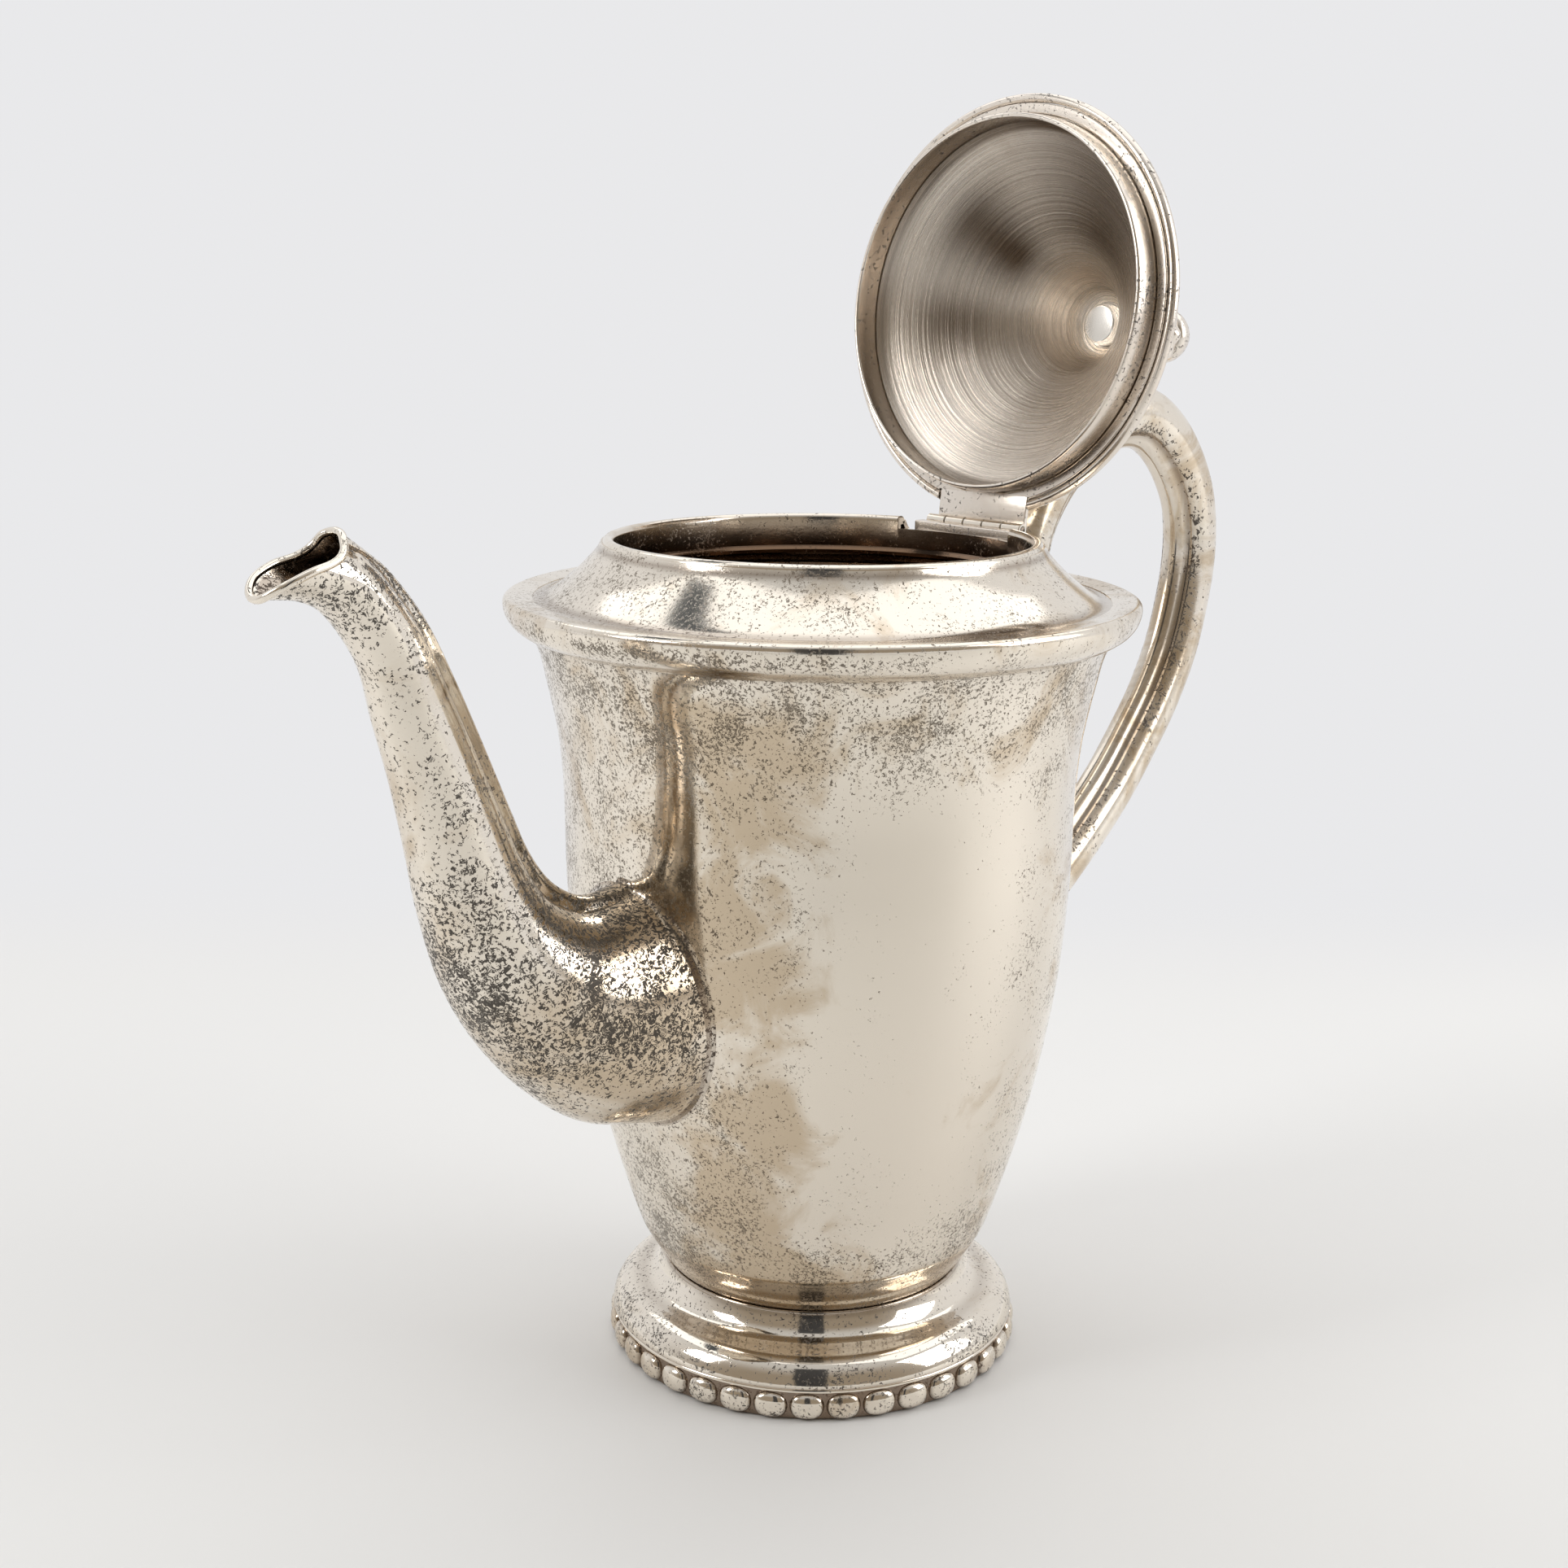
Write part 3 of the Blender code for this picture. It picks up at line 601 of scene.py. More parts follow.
def make_body():
    outer = BODY_LINE
    inner = inset(outer, BODY_WALL)
    base = outer[-1].y
    section = outer + [Vector((30.4, base - 0.5)), Vector((0, base - 0.5)), Vector((0, base + 1.2))]
    section += [Vector((inner[-1].x - 1, base + 1.2))] + inner[-2::-1]
    mesh = turned("body", section)

    def cleaned(p):
        b = bearing(p)
        return ease(p.z, 26, 44) * (1 - ease(p.z, 116, 136)) * near(b, 22, 27)

    def specks(p):
        left = near(bearing(p), -50, 38)
        low = near(p.z, 30, 15)
        high = ease(p.z, 122, 146)
        return min(1.0, 0.57 + 0.08 * left + 0.10 * low + 0.12 * high - 0.40 * cleaned(p))

    def film(p):
        b = bearing(p)
        # Extra bloom behind the spout: partly tarnish, partly a painted reflection of the spout in the
        # body.
        spout_reflection_and_tarnish = near(b, -16, 17) * (1 - ease(p.z, 140, 150))
        return min(1.0, 0.60 + 0.38 * spout_reflection_and_tarnish + 0.15 * near(p.z, 24, 8) - 0.30 * cleaned(p))

    def grime_and_shade(p):
        seams = 0.15 * near(p.z, 150.8, 1.0) + 0.2 * near(p.z, 18.0, 0.6)
        return seams + 0.30 * near(p.z, 22.5, 3.0) + 0.09 * cleaned(p)

    lining = rounded(inner)
    plain_marks(mesh, specks, film, lambda p: 1.0 if is_lining(p, lining) else grime_and_shade(p), cleaned)
    fit("body", mesh, BODY_FINISH, "pot", "polished_silver", "body_shell")


def rounded(outline):
    return {tuple(round(c, 2) for c in p) for p in outline}


def is_lining(p, lining):
    """True where a point of a turned piece belongs to its inner outline."""
    return (round(math.hypot(p.x, p.y), 2), round(p.z, 2)) in lining


def plain_marks(mesh, specks, film, grime_and_shade=None, dull=None):
    """Stores the four marks that a painted finish reads, as rules or plain numbers."""
    paint(mesh, "specks", specks if callable(specks) else lambda p: specks)
    paint(mesh, "film", film if callable(film) else lambda p: film)
    paint(mesh, "grime_and_shade", grime_and_shade or (lambda p: 0.0))
    paint(mesh, "dull", dull or (lambda p: 0.0))


def make_neck():
    outer = flowing(NECK_OUTLINE, 0.5)
    inner = inset(outer, NECK_WALL)
    mesh = turned("neck", outer + inner[::-1])
    half = NECK_NOTCH_HALF
    mesh = cut_away(mesh, (40.0, -half, 165.4), (60.0, half, 176.0))
    plain_marks(mesh, lambda p: 0.50 + 0.12 * near(bearing(p), -50, 45), 0.56,
                lambda p: 0.5 * near(p.z, 157.2, 0.5) + 0.5 * near(p.z, 166.6, 0.6))
    fit("neck", mesh, NECK_FINISH, "pot", "polished_silver", "neck_cone")

    band = arc((61.6, 156.2), 1.25, 100, 20, 6)
    band += flowing([
        (62.85, 156.1), (62.7, 154.9), (62.1, 153.3), (61.0, 151.9), (59.8, 151.0),
    ], 0.4)
    band += points(
        (59.2, 150.65), (58.6, 150.4), (57.9, 150.1), (57.0, 150.1), (57.0, 157.0), (59.0, 157.2),
    )
    mesh = turned("shoulder_band", band)
    plain_marks(
        mesh, lambda p: 0.5 + 0.38 * near(bearing(p), -30, 35) * near(p.z, 154.0, 1.5), 0.6,
        lambda p: 0.2 * near(p.z, 151.0, 0.8),
    )
    fit("shoulder_band", mesh, NECK_FINISH, "pot", "polished_silver", "shoulder_moulding")

    rim = 1.15
    section = arc((NECK_BORE + rim, NECK_TOP - rim), rim, 180, 0, 12)
    section += points(
        (43.4, 166.9), (42.2, 166.6), (42.2, 160.9), (41.0, 159.9), (40.3, 159.9), (39.9, 160.3),
        (39.9, 161.0), (40.3, 161.4), (40.9, 161.8),
    )
    mesh = turned("collar", section)
    mesh = cut_away(mesh, (38.0, -half, 165.9), (60.0, half, 176.0))

    # The collar's bore is browned, partly tarnish, and painted shade darkens it further down into the
    # neck; a dark line marks the step outside below the rim.
    def stain_and_shade(p):
        inward = 1 - ease(Vector((p.x, p.y)).length, 41.2, 41.9)
        return max(inward * (1 - 0.8 * ease(p.z, 161.0, 166.5)), 0.4 * near(p.z, 166.8, 0.5))

    plain_marks(mesh, 0.45, 0.5, stain_and_shade)
    fit("collar", mesh, NECK_FINISH, "pot", "polished_silver", "neck_collar")


def make_foot():
    cove = flowing([(31.1, 17.2), (31.7, 15.6), (32.6, 14.1), (34.0, 12.95), (36.4, 12.2)], 0.35)
    swell = flowing([
        (36.6, 12.15), (38.5, 11.7), (40.3, 10.6), (41.5, 9.1), (42.1, 7.8), (42.3, 6.9),
    ], 0.4)
    outer = cove + swell
    mesh = turned("foot", outer + inset(outer, FOOT_WALL)[::-1])

    def specks(p):
        return 0.48 + 0.06 * near(bearing(p), -60, 60) + 0.1 * near(p.z, 9.0, 2.0)

    def grime_and_shade(p):
        return 0.35 * near(p.z, 16.8, 0.5) + 0.25 * near(p.z, 12.3, 0.4) + 0.4 * near(p.z, 6.9, 0.3)

    plain_marks(mesh, specks, 0.46, grime_and_shade)
    fit("foot", mesh, FOOT_FINISH, "pot", "aged_silver", "foot_shell")
    wire = turned("foot_joint", arc((31.15, 17.45), 0.42, 0, 330, 11))
    plain_marks(wire, 0.5, 0.6, lambda p: 0.5)
    fit("foot_joint", wire, FOOT_FINISH, "pot", "polished_silver", "foot_joint_wire")
    rim = turned("foot_edge", arc((41.75, 6.3), 0.52, 0, 330, 11))
    plain_marks(rim, 0.2, 0.3)
    fit("foot_edge", rim, FOOT_FINISH, "pot", "polished_silver", "foot_rim_wire")
    ring = softened([(36.5, 0.0), (38.4, 0.0), (38.4, 1.2), (36.5, 1.2)], 0.2)
    ring = turned("stand_ring", ring)
    fit("stand_ring", ring, GRIMY_FINISH, "pot", "aged_silver", "foot_stand_ring")


def bead_border_tree():
    """Beads set round a ring, with the band behind them."""
    tree = bpy.data.node_groups.new("bead_border", "GeometryNodeTree")
    face = tree.interface
    face.new_socket("Band", in_out="INPUT", socket_type="NodeSocketGeometry")
    for label, kind, value in (
        ("Ring radius", "NodeSocketFloat", BEAD_RING * MM),
        ("Beads", "NodeSocketInt", BEAD_COUNT),
        ("Bead depth", "NodeSocketFloat", BEAD_DEPTH * MM),
        ("Bead width", "NodeSocketFloat", BEAD_WIDTH * MM),
        ("Bead height", "NodeSocketFloat", BEAD_HEIGHT * MM),
        ("Bead level", "NodeSocketFloat", BEAD_LEVEL * MM),
    ):
        face.new_socket(label, in_out="INPUT", socket_type=kind).default_value = value
    face.new_socket("Geometry", in_out="OUTPUT", socket_type="NodeSocketGeometry")
    given = tree.nodes.new("NodeGroupInput").outputs
    result = tree.nodes.new("NodeGroupOutput").inputs
    ring = node(
        tree, "GeometryNodeMeshCircle", {"Vertices": given["Beads"], "Radius": given["Ring radius"]}
    ).outputs[0]
    ball = node(tree, "GeometryNodeMeshIcoSphere", {"Radius": 1.0, "Subdivisions": 5}).outputs[0]
    spot = tree.nodes.new("GeometryNodeInputPosition").outputs[0]

    def vectors(operation, links):
        return node(tree, "ShaderNodeVectorMath", links, operation=operation).outputs

    squared = vectors("MULTIPLY", {0: spot, 1: spot})[0]
    fourth = vectors("MULTIPLY", {0: squared, 1: squared})[0]
    total = vectors("DOT_PRODUCT", {0: fourth, 1: (1, 1, 1)})["Value"]
    squareness = -0.075
    puff = maths(tree, "POWER", total, squareness)
    cushion = vectors("SCALE", {0: spot, "Scale": puff})[0]
    bead = node(tree, "GeometryNodeSetPosition", {"Geometry": ball, "Position": cushion}).outputs[0]
    place = tree.nodes.new("GeometryNodeInputPosition").outputs[0]
    turn = node(
        tree, "FunctionNodeAlignRotationToVector", {"Vector": place}, axis="X", pivot_axis="Z"
    ).outputs[0]
    size = node(
        tree, "ShaderNodeCombineXYZ",
        {"X": given["Bead depth"], "Y": given["Bead width"], "Z": given["Bead height"]},
    ).outputs[0]
    set_out = node(
        tree, "GeometryNodeInstanceOnPoints",
        {"Points": ring, "Instance": bead, "Rotation": turn, "Scale": size},
    ).outputs[0]
    level = node(tree, "ShaderNodeCombineXYZ", {"Z": given["Bead level"]}).outputs[0]
    lifted = node(
        tree, "GeometryNodeTransform",
        {"Geometry": set_out, "Translation": level, "Rotation": (0, 0, BEAD_TURN)},
    ).outputs[0]
    real = node(tree, "GeometryNodeRealizeInstances", {"Geometry": lifted}).outputs[0]
    smooth = node(tree, "GeometryNodeSetShadeSmooth", {"Geometry": real}).outputs[0]
    joined = tree.nodes.new("GeometryNodeJoinGeometry")
    tree.links.new(smooth, joined.inputs[0])
    tree.links.new(given["Band"], joined.inputs[0])
    coated = node(
        tree, "GeometryNodeSetMaterial", {"Geometry": joined.outputs[0], "Material": BEAD_FINISH}
    )
    tree.links.new(coated.outputs[0], result[0])
    return tree


def make_beads():
    band = softened([(38.6, 0.35), (41.6, 0.15), (41.7, 5.9), (38.6, 5.9)], 0.3)
    band = turned("bead_band", band)
    blank = placed("bead_blank", band)
    step = blank.modifiers.new("beads", "NODES")
    step.node_group = bead_border_tree()
    mesh = evaluated(blank)
    bpy.data.objects.remove(blank)

    half_turn = 180.0 / BEAD_COUNT

    def grime_and_shade(p):
        turn = math.degrees(math.atan2(p.y, p.x)) - math.degrees(BEAD_TURN)
        across = abs((turn + half_turn) % (2 * half_turn) - half_turn) / half_turn
        deep = 1 - ease(math.hypot(p.x, p.y), 41.6, 42.6)
        return max(0.85 * deep, 0.8 * ease(across, 0.70, 0.98), 0.7 * near(p.z, 0.2, 0.8))

    plain_marks(mesh, 0.55, 0.6, grime_and_shade)
    fit("beads", mesh, BEAD_FINISH, "pot", "cast_silver", "foot_bead_border")


# Spout and handle


def ribbed_section(depth, width, rib, rib_half, count=128):
    """(towards the back, across) points of a tube with a narrow rounded rib on its back."""
    section = []
    for i in range(count):
        t = i / count
        sign = -1 if t > 0.5 else 1
        amount = t * 2 if t <= 0.5 else (1 - t) * 2
        angle = math.pi * amount**1.6
        a, b = depth * math.cos(angle), width * math.sin(angle)
        if rib > 0 and math.cos(angle) > 0:
            reach = b / rib_half
            lift = rib * (1 - min(reach, 1.0) ** 3.0) ** 0.6
            crease = -0.22 * near(reach, 1.22, 0.16)
            a += lift + crease * min(rib, 1.0)
        section.append((a, sign * b))
    return section


def ring_of(section, centre, along):
    """A section stood across its arm, in the pot's plane of symmetry."""
    return [Vector((centre.x + along.x * a, b, centre.y + along.y * a)) for a, b in section]


def above_body(p):
    return math.hypot(p.x, p.y) - body_radius(p.z)


def set_above_body(p, height):
    """The point moved straight in or out until it is at a height above the body."""
    reach = math.hypot(p.x, p.y)
    scale = (reach + height - above_body(p)) / reach
    return Vector((p.x * scale, p.y * scale, p.z))


def resample(line, centres, start, shares, fillet):
    """Points of one lengthwise line from the body outwards, flared near the body."""
    last = len(line) - 1
    out = []
    for share in shares:
        at = min(max(start + (last - start) * share, 0.0), last - 1e-6)
        i = int(at)
        p = line[i].lerp(line[i + 1], at - i)
        c = centres[i].lerp(centres[i + 1], at - i)
        gap = max(above_body(p), 0.0)
        if gap < fillet and share < 0.5:
            grow = fillet - math.sqrt(max(fillet**2 - (fillet - gap) ** 2, 0.0))
            p = set_above_body(p + (p - c).normalized() * grow, gap)
        out.append(p)
    return out


def branch(rings, centres, fillets, inner_rings, count=150):
    """Rows for a hollow arm that grows from the body: outer skin out, inner skin back."""
    around = len(rings[0])
    shares = [(k / count) ** 1.5 for k in range(count + 1)]
    columns = []
    for j in range(around):
        line = [ring[j] for ring in rings]
        gaps = [above_body(p) for p in line]
        start = max((i for i, gap in enumerate(gaps[: len(gaps) // 2]) if gap <= 0), default=0)
        a, b = gaps[start], gaps[start + 1]
        at = start + max(0.0, min(1.0, -a / max(b - a, 1e-6)))
        column = resample(line, centres, at, shares, fillets[j])
        columns.append([set_above_body(column[0], -0.6)] + column)
    rows = [[column[k] for column in columns] for k in range(count + 2)]
    return rows + inner_rings


def mouth_ring(count, draw_in=0.0):
    """The mouth's rim as a ring of points that starts at the back."""
    half = flowing(MOUTH_RIM, 0.12)
    reach = [0.0]
    for a, b in zip(half, half[1:]):
        reach.append(reach[-1] + (b - a).length)
    ring = []
    for i in range(count):
        t = i / count
        amount = (t * 2 if t <= 0.5 else (1 - t) * 2) ** 1.25
        wanted = amount * reach[-1]
        k = next(k for k in range(1, len(reach)) if reach[k] >= wanted - 1e-6)
        share = (wanted - reach[k - 1]) / (reach[k] - reach[k - 1])
        p = half[k - 1].lerp(half[k], share)
        p = Vector((p.x, p.y if t <= 0.5 else -p.y, p.z))
        middle = Vector((MOUTH_MIDDLE[0] + (p.x - MOUTH_MIDDLE[0]) * 0.55, 0.0, p.z))
        ring.append(p + (middle - p).normalized() * draw_in)
    return ring


def make_spout():
    outer_rings, centres, inner_rings = [], [], []
    for bx, bz, fx, fz, width, rib in SPOUT_SECTIONS:
        back, front = Vector((bx, bz)), Vector((fx, fz))
        centre, along = (back + front) / 2, (back - front).normalized()
        depth = (back - front).length / 2
        for rings, wall, ridge in ((outer_rings, 0.0, rib), (inner_rings, SPOUT_WALL, 0.0)):
            section = ribbed_section(depth - wall, width - wall, ridge, SPOUT_RIB_HALF)
            rings.append(ring_of(section, centre, along))
        centres.append(Vector((centre.x, 0, centre.y)))
    around = len(outer_rings[0])
    outer_rings.append(mouth_ring(around, -0.1))
    inner_rings.append(mouth_ring(around, 0.7))
    centres.append(Vector(MOUTH_MIDDLE))
    per_span = 14
    rings, inner, middles = [
        [[Vector(row[i : i + 3]) for i in range(0, len(row), 3)] for row in flowing_values(
            [[c for p in ring for c in p] for ring in control], per_span)]
        for control in (outer_rings, inner_rings, [[c] for c in centres])
    ]
    middles = [m[0] for m in middles]
    turns = [min(j, around - j) / around for j in range(around)]
    fillets = [0.8 + 0.8 * near(t, 0.22, 0.10) for t in turns]
    rows = branch(rings, middles, fillets, inner[: per_span : -1])
    mesh = skin("spout", rows, close_rows=True)

    def specks(p):
        belly = near(p.z, 96, 24)
        top = near(p.z, 166, 13)
        light_side = ease(p.z, 112, 130) * (1 - ease(p.z, 150, 160)) * 0.10
        return min(1.0, 0.60 + 0.26 * belly + 0.14 * top - light_side)

    def grime_and_shade(p):
        gap = Vector((p.x, p.y)).length - body_radius(p.z)
        return 0.35 * math.exp(-max(gap, 0.0) / 0.35)

    def film(p):
        return 0.60 + 0.15 * near(p.z, 84, 24)

    plain_marks(mesh, specks, film, grime_and_shade)
    stain_and_shade_spout(mesh, inner)
    fit("spout", mesh, SPOUT_FINISH, "pot", "polished_silver",
        "spout_half_left", "spout_half_right")
    lip = drawn_tube("spout_lip", mouth_ring(120, 0.25), 0.72)
    plain_marks(lip, 0.45, 0.4)
    fit("spout_lip", lip, LIP_FINISH, "pot", "polished_silver", "spout_lip_wire")


def stain_and_shade_spout(mesh, rings):
    """Stains the inner skin brown, with painted light making it lighter at the mouth, and paints brown
    shade on the outer side that faces the body.
    """
    inner = {tuple(round(c, 3) for c in p) for ring in rings[:-2] for p in ring}
    values = mesh.attributes["grime_and_shade"].data
    for vertex, value in zip(mesh.vertices, values):
        if tuple(round(c / MM, 3) for c in vertex.co) in inner:
            # Brown stain inside; the lighter band at the mouth is painted light.
            value.value = 0.9 - 0.35 * ease(vertex.co.z, 0.163, 0.170)
        # Painted shade: the side of the spout that faces the body is browned.
        elif vertex.co.x < -0.053:
            value.value = max(value.value, 0.5 * ease(vertex.normal.x, 0.45, 0.95))


def flowing_values(rows, per_span):
    """Smoothly interpolates rows of numbers, per_span samples between neighbours."""
    ends = [[2 * a - b for a, b in zip(rows[0], rows[1])]] + [list(r) for r in rows]
    ends.append([2 * a - b for a, b in zip(rows[-1], rows[-2])])
    out = []
    for p, a, b, q in zip(ends, ends[1:], ends[2:], ends[3:]):
        for i in range(per_span):
            t = i / per_span
            out.append([
                0.5 * (2 * y + (z - x) * t + (2 * x - 5 * y + 4 * z - w) * t * t
                       + (3 * y - 3 * z + w - x) * t**3)
                for x, y, z, w in zip(p, a, b, q)
            ])
    out.append(list(rows[-1]))
    return out


def make_handle():
    path = flowing(HANDLE_PATH, 1.6)[::-1]
    outside = ribbed_section(HANDLE_RADIUS, HANDLE_RADIUS, HANDLE_RIB, HANDLE_RIB_HALF)
    bore = HANDLE_RADIUS - HANDLE_WALL
    inside = ribbed_section(bore, bore, 0.0, HANDLE_RIB_HALF)
    rings, centres, inner = [], [], []
    for i, p in enumerate(path):
        along = (path[min(i + 1, len(path) - 1)] - path[max(i - 1, 0)]).normalized()
        inward = Vector((-along.y, along.x))
        rings.append(ring_of(outside, p, inward))
        inner.append(ring_of(inside, p, inward))
        centres.append(Vector((p.x, 0, p.y)))
    level = path[-1].y
    for ring in (rings[-1], inner[-1]):
        for point in ring:
            point.z = level
    rows = branch(rings, centres, [1.5] * len(rings[0]), inner[:6:-1], 210)
    mesh = skin("handle", rows, close_rows=True)

    def specks(p):
        return 0.30 + 0.12 * near(p.z, 165, 25)

    def grime_and_shade(p):
        gap = Vector((p.x, p.y)).length - body_radius(p.z)
        return 0.7 * math.exp(-max(gap, 0.0) / 1.2) if p.z < 120 else 0.0

    plain_marks(mesh, specks, 0.68, grime_and_shade)
    brown_beside_rib(mesh)
    fit("handle", mesh, HANDLE_FINISH, "pot", "polished_silver",
        "handle_half_left", "handle_half_right")
    plate = turned("plate", arc((6.4, 0.6), 0.6, 90, -90, 6) + points((0, 0), (0, 1.2)), 96)
    plate.transform(Matrix.Diagonal((0.95, 1.1, 1.0, 1.0)))
    plate.transform(Matrix.Translation((59.9 * MM, 0, 157.9 * MM)))
    fit("handle_plate", plate, PLAIN_FINISH, "pot", "cast_silver", "handle_upper_plate")


def brown_beside_rib(mesh):
    """Old polish and tarnish left along both edges of the handle's rib."""
    middle = Vector(HANDLE_MIDDLE) * MM
    values = mesh.attributes["grime_and_shade"].data
    specks = mesh.attributes["specks"].data
    for vertex, value in zip(mesh.vertices, values):
        inwards = (middle - vertex.co).normalized().dot(vertex.normal)
        if inwards > 0.0:
            across = abs(vertex.co.y) / MM
            along = 0.5 * near(across, 3.5, 0.8) + 0.22 * near(across, 0.0, 3.0)
            value.value = max(value.value, along * ease(inwards, 0.0, 0.4))
            specks[vertex.index].value += 0.38 * near(across, 4.6, 1.2) * ease(inwards, 0.0, 0.3)


# Lid and hinge


def make_lid():
    outer = flowing([
        (5.5, 205.6), (8.2, 203.0), (9.3, 199.5), (12.3, 193.8), (18.4, 187.4), (27.0, 180.0),
        (33.8, 174.8), (38.0, 172.1), (41.2, 171.3),
    ], 0.6)
    inner = flowing([
        (4.7, 204.6), (7.3, 202.4), (8.3, 199.2), (11.4, 193.3), (17.7, 186.8), (26.4, 179.2),
        (33.2, 173.9), (36.4, 171.6), (37.6, 170.2),
    ], 0.5)
    section = points((1.9, 205.6)) + outer + points((41.2, 170.4), (37.9, 170.2)) + inner[::-1]
    mesh = turned("lid_dome", section + points((1.9, 204.7)))

    lining = rounded(inner)

    # Painted reflections and shade inside the dome: dark wedges and a darker middle as painted dark
    # reflections, a painted shadow just inside the rim, and a bright wedge and the middle disc as
    # painted highlights.
    def shade(p):
        turn = math.degrees(math.atan2(p.y, p.x)) % 360.0
        radius = math.hypot(p.x, p.y)
        dark = 0.85 * near(turn, 133, 20) * ease(radius, 12, 18) * (1 - ease(radius, 27, 34))
        dark += 0.70 * near(turn, 84, 17) * near(radius, 25, 7)
        dark += 0.16 * (1 - ease(radius, 14, 28)) + 0.45 * ease(radius, 35.6, 37.0)
        dark += 0.80 * near(turn, 215, 48) * ease(radius, 10, 20)
        light = 1.2 * near(turn, 41, 18) * ease(radius, 14, 22) + 2.0 * near(radius, 0, 7.5)
        return min(1.0, max(0.0, 0.02 + dark - 0.5 * light))

    paint(mesh, "shade", shade)
    dome = fit("lid_dome", mesh, SPUN_FINISH, "lid", "spun_silver", "lid_dome")
    dome.data.materials.append(PLAIN_FINISH)
    inside = [is_lining(OPENING.inverted() @ v.co / MM, lining) for v in mesh.vertices]
    for face in mesh.polygons:
        if not any(inside[i] for i in face.vertices):
            face.material_index = 1

    plate = turned("lid_plate", softened([
        (38.9, 168.8), (41.1, 168.8), (41.1, 170.1), (38.9, 170.1),
    ], 0.35))
    notch = (38.8, -LID_NOTCH_HALF, 160.0), (50.0, LID_NOTCH_HALF, 170.3)
    plate = cut_away(plate, *notch)
    fit("lid_plate", plate, LID_FINISH, "lid", "polished_silver", "lid_rim_plate")
    edge = flowing([
        (41.3, 169.2), (41.8, 168.75), (42.5, 168.8), (43.0, 169.3), (43.12, 169.9), (43.0, 170.6),
        (42.4, 171.0), (41.7, 170.9), (41.3, 170.4), (41.3, 169.2),
    ], 0.2)[:-1]
    wire = turned("lid_edge", edge)
    wire = cut_away(wire, *notch)
    fit("lid_edge", wire, LID_FINISH, "lid", "cast_silver", "lid_edge_wire")
    bezel = points((38.7, 169.7), (38.65, 167.0), (38.35, 164.4))
    bezel += arc((37.8, 164.2), 0.5, 0, -180, 8) + points((37.35, 166.5), (37.6, 169.7))
    fit("lid_bezel", turned("lid_bezel", bezel), LID_FINISH, "lid", "polished_silver", "lid_bezel")


def make_finial():
    cup = flowing([
        (1.8, 206.0), (5.6, 206.1), (5.2, 207.6), (3.3, 210.2), (2.9, 214.0), (4.6, 218.0),
        (6.5, 221.0), (6.2, 222.8), (4.0, 223.0), (1.8, 222.6),
    ], 0.4)
    mesh = turned("finial_cup", cup, 64)
    for v in mesh.vertices:
        high = ease(v.co.z / MM, 214, 221)
        wave = 1 + 0.07 * high * math.cos(8 * math.atan2(v.co.y, v.co.x))
        v.co.x *= wave
        v.co.y *= wave
    fit("finial_cup", mesh, LID_FINISH, "lid", "cast_silver", "finial_cup")
    bud = flowing([
        (0, 232.4), (2.2, 231.6), (4.6, 229.0), (6.0, 226.2), (5.8, 224.2), (4.4, 223.2),
    ], 0.4)
    mesh = turned("finial_bud", bud + points((0, 223.2)), 64, closed=False)
    fit("finial_bud", mesh, LID_FINISH, "lid", "cast_silver", "finial_bud")
    nut = points((0, 201.2)) + arc((3.6, 201.9), 0.7, -90, 0, 5) + points((4.5, 204.2), (0, 204.2))
    mesh = turned("finial_nut", nut, 96, closed=False)
    fit("finial_nut", mesh, BRIGHT_FINISH, "lid", "aged_silver", "finial_nut", "finial_stud")


def on_hinge(mesh):
    """Lays a piece turned about Z along the hinge's axis."""
    mesh.transform(Matrix.Rotation(-math.pi / 2, 4, "X"))
    mesh.transform(Matrix.Translation((HINGE_X * MM, 0, HINGE_Z * MM)))
    return mesh


def make_hinge():
    low, high = LID_SEAT + 0.2, LID_SEAT + 1.2
    leaf = bar("lid_leaf", (38.5, -LID_LEAF_HALF, low), (HINGE_X + 0.6, LID_LEAF_HALF, high), 0.2)
    fit("lid_leaf", leaf, LID_FINISH, "lid", "polished_silver", "hinge_lid_leaf")
    step = [
        (41.1, 163.6), (41.1, 167.7), (43.9, 167.7), (43.9, 166.05), (46.7, 166.05), (46.7, 163.6),
    ]
    leaf = drawn_bar("pot_leaf", softened(step, 0.3, 3), POT_LEAF_HALF)
    fit("pot_leaf", leaf, LID_FINISH, "pot", "polished_silver", "hinge_pot_leaf")
    length, gap, edge = 2 * HINGE_HALF / KNUCKLES, 0.08, 0.15
    for index in range(KNUCKLES):
        owner = "lid" if index % 2 == 1 else "pot"
        start = -HINGE_HALF + index * length + gap
        end = start + length - 2 * gap
        name = f"hinge_knuckle_{index + 1}_{owner}"
        bore, r = 0.75, HINGE_RADIUS
        section = points(
            (bore, start), (r - edge, start), (r, start + edge),
            (r, end - edge), (r - edge, end), (bore, end),
        )
        mesh = on_hinge(turned(name, section, 32))
        fit("shown_" + name, mesh, PLAIN_FINISH, owner, "polished_silver", name)
    section = points((0, -13.1), (PIN_RADIUS, -13.0), (PIN_RADIUS, 13.0), (0, 13.1))
    pin = on_hinge(turned("pin", section, 24, closed=False))
    fit("shown_pin", pin, GRIMY_FINISH, "pot", "hinge_pin_steel", "hinge_pin")


# Camera, floor and light

VIEW_TURN = math.radians(45.0)


def from_view(x, y, z):
    """A point given as right of, away from and above the front of the pot."""
    s, c = math.sin(VIEW_TURN), math.cos(VIEW_TURN)
    return Vector((x * s + y * c, -x * c + y * s, z))


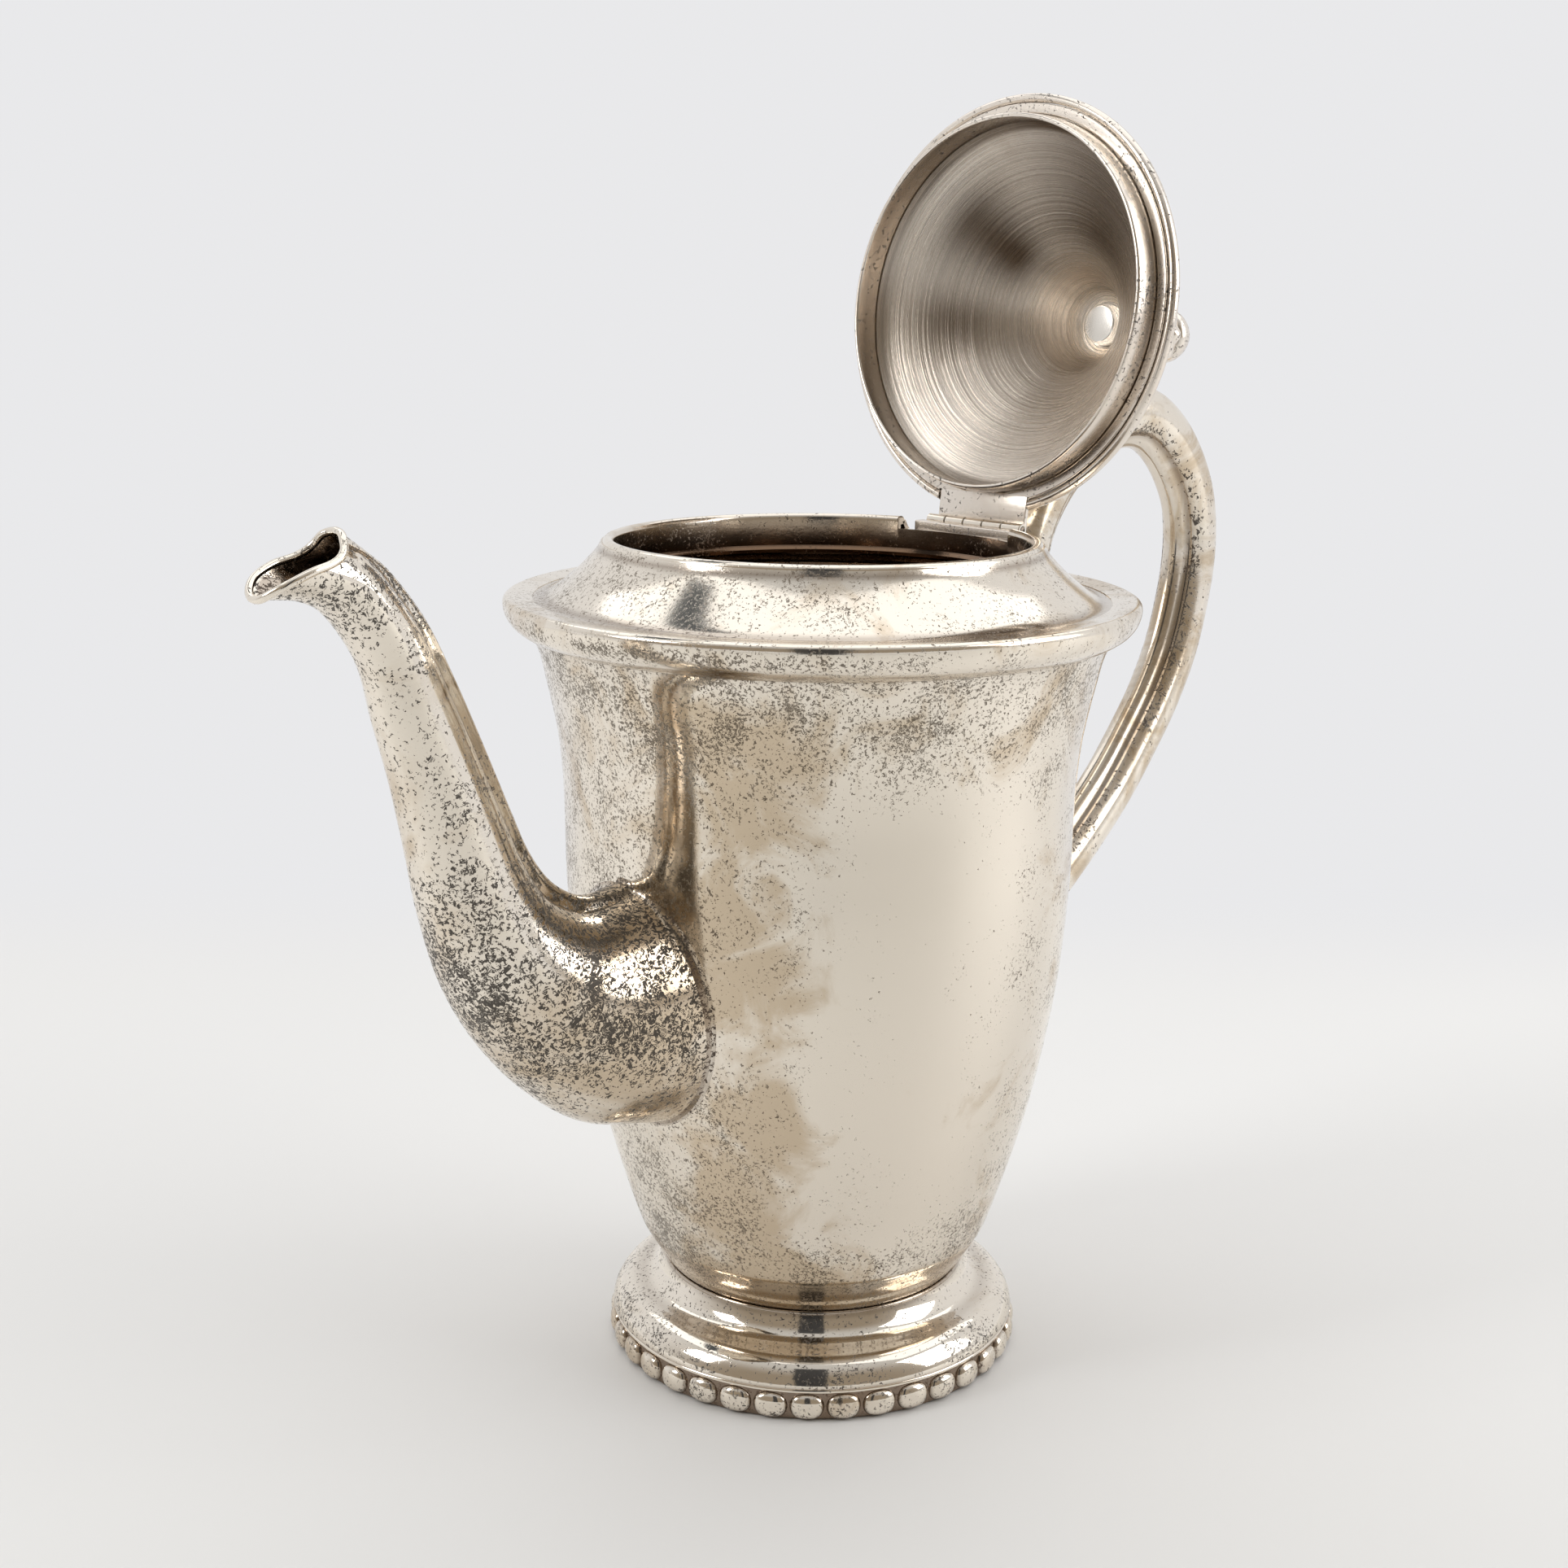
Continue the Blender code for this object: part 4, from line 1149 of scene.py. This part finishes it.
def make_camera():
    distance, height = 0.4221, 0.2191
    pitch, yaw, roll = math.radians(13.43), math.radians(-0.964), math.radians(0.6)
    level = Vector((math.cos(yaw), -math.sin(yaw), 0))
    ahead = Vector((math.sin(yaw), math.cos(yaw), 0))
    forward = ahead * math.cos(pitch) - Vector((0, 0, math.sin(pitch)))
    above = ahead * math.sin(pitch) + Vector((0, 0, math.cos(pitch)))
    right = level * math.cos(roll) + above * math.sin(roll)
    up = above * math.cos(roll) - level * math.sin(roll)
    axes = [from_view(*v) for v in (right, up, -forward)]
    place = Matrix(axes).transposed().to_4x4()
    place.translation = from_view(0, -distance, height)
    camera = bpy.data.cameras.new("camera")
    camera.lens = 49.24
    camera.sensor_width = 36
    camera.clip_start = 0.01
    obj = placed("camera", camera)
    obj.matrix_world = place
    bpy.context.scene.camera = obj


BACKDROP = (0.815, 0.815, 0.828)


def make_floor():
    """A pale floor that runs into a plain backdrop some way behind the pot."""
    cage = bmesh.new()
    bmesh.ops.create_circle(cage, cap_ends=True, segments=96, radius=30.0)
    mesh = meshed("floor", cage)
    material, tree, shader = blank_finish("pale_floor")
    shader.inputs["Roughness"].default_value = 0.55
    shader.inputs["Specular IOR Level"].default_value = 0.25
    place = node(tree, "ShaderNodeTexCoord").outputs["Object"]
    turned_place = node(
        tree, "ShaderNodeMapping", {"Vector": place, "Rotation": (0, 0, math.pi / 2 - VIEW_TURN)}
    ).outputs[0]
    split = node(tree, "ShaderNodeSeparateXYZ", {0: turned_place}).outputs
    near_side = spread(tree, split[1], -0.30, 0.05)
    colour = blend(tree, near_side, (0.70, 0.70, 0.685), (0.80, 0.80, 0.795))
    tree.links.new(colour, shader.inputs["Base Color"])
    far = node(tree, "ShaderNodeVectorMath", {0: place}, operation="LENGTH").outputs["Value"]
    edge = maths(tree, "MAXIMUM", spread(tree, split[1], 0.20, 0.34), spread(tree, far, 0.9, 1.6))
    glow = node(tree, "ShaderNodeEmission", {"Color": (*BACKDROP, 1), "Strength": 1.0}).outputs[0]
    mixed = node(tree, "ShaderNodeMixShader", {0: edge})
    tree.links.new(shader.outputs[0], mixed.inputs[1])
    tree.links.new(glow, mixed.inputs[2])
    tree.links.new(mixed.outputs[0], tree.nodes["Material Output"].inputs["Surface"])
    mesh.materials.append(material)
    floor = placed("floor", mesh)
    floor.location.z = -0.00005


def softbox(name, place, size, power, aim=(0, 0, 0.11), tint=(1, 1, 1)):
    light = bpy.data.lights.new(name, "AREA")
    light.shape = "RECTANGLE"
    light.size, light.size_y = size
    light.energy = power
    light.color = tint
    obj = placed(name, light)
    obj.location = from_view(*place)
    obj.rotation_euler = (Vector(aim) - obj.location).to_track_quat("-Z", "Y").to_euler()
    obj.visible_camera = False


def make_light():
    world = bpy.data.worlds.new("studio")
    bpy.context.scene.world = world
    world.use_nodes = True
    tree = world.node_tree
    background = tree.nodes["Background"]
    ray = node(tree, "ShaderNodeLightPath").outputs["Is Camera Ray"]
    place = node(tree, "ShaderNodeTexCoord").outputs["Generated"]
    split = node(tree, "ShaderNodeSeparateXYZ", {0: place}).outputs
    away = node(
        tree, "ShaderNodeVectorMath", {0: place, 1: tuple(from_view(0, 1, 0))}, operation="DOT_PRODUCT"
    ).outputs["Value"]
    behind = spread(tree, away, -0.75, 0.35)
    level = blend(tree, behind, (0.30, 0.255, 0.20), (0.80, 0.80, 0.81))
    around = blend(tree, spread(tree, split[2], 0.50, 0.98), level, (0.57, 0.57, 0.57))
    colour = blend(tree, ray, around, BACKDROP)
    tree.links.new(colour, background.inputs["Color"])
    background.inputs["Strength"].default_value = 1.0
    softbox("overhead_box", (0.0, 0.35, 1.2), (1.9, 1.3), 5.4)
    softbox("left_box", (-0.85, -0.35, 0.65), (0.30, 0.42), 3.2)
    softbox("right_box", (1.0, -0.15, 0.6), (0.7, 0.8), 4.8)
    dark_card("camera_card", (0.0, -0.60, 0.34), (0.20, 0.80), (0.020, 0.020, 0.022))
    dark_card("upper_card", (-0.40, 0.25, 0.95), (0.60, 0.16), (0.05, 0.06, 0.07))


def dark_card(name, place, size, colour):
    """A card seen only in reflections."""
    cage = bmesh.new()
    bmesh.ops.create_grid(cage, x_segments=1, y_segments=1, size=0.5)
    bmesh.ops.scale(cage, vec=(*size, 1.0), verts=cage.verts)
    mesh = meshed(name, cage)
    material, _, shader = blank_finish(name)
    shader.inputs["Base Color"].default_value = (*colour, 1)
    mesh.materials.append(material)
    card = placed(name, mesh)
    card.location = from_view(*place)
    card.rotation_euler = (Vector((0, 0, 0.1)) - card.location).to_track_quat("Z", "Y").to_euler()
    card.visible_camera = False
    card.visible_diffuse = False
    card.visible_shadow = False


make_camera()
make_floor()
make_light()
make_body()
make_neck()
make_foot()
make_beads()
make_spout()
make_handle()
make_lid()
make_finial()
make_hinge()
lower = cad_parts["handle_lower_plate"]
lower.data.materials.clear()
lower.data.materials.append(PLAIN_FINISH)
bpy.context.scene.view_settings.view_transform = "Standard"
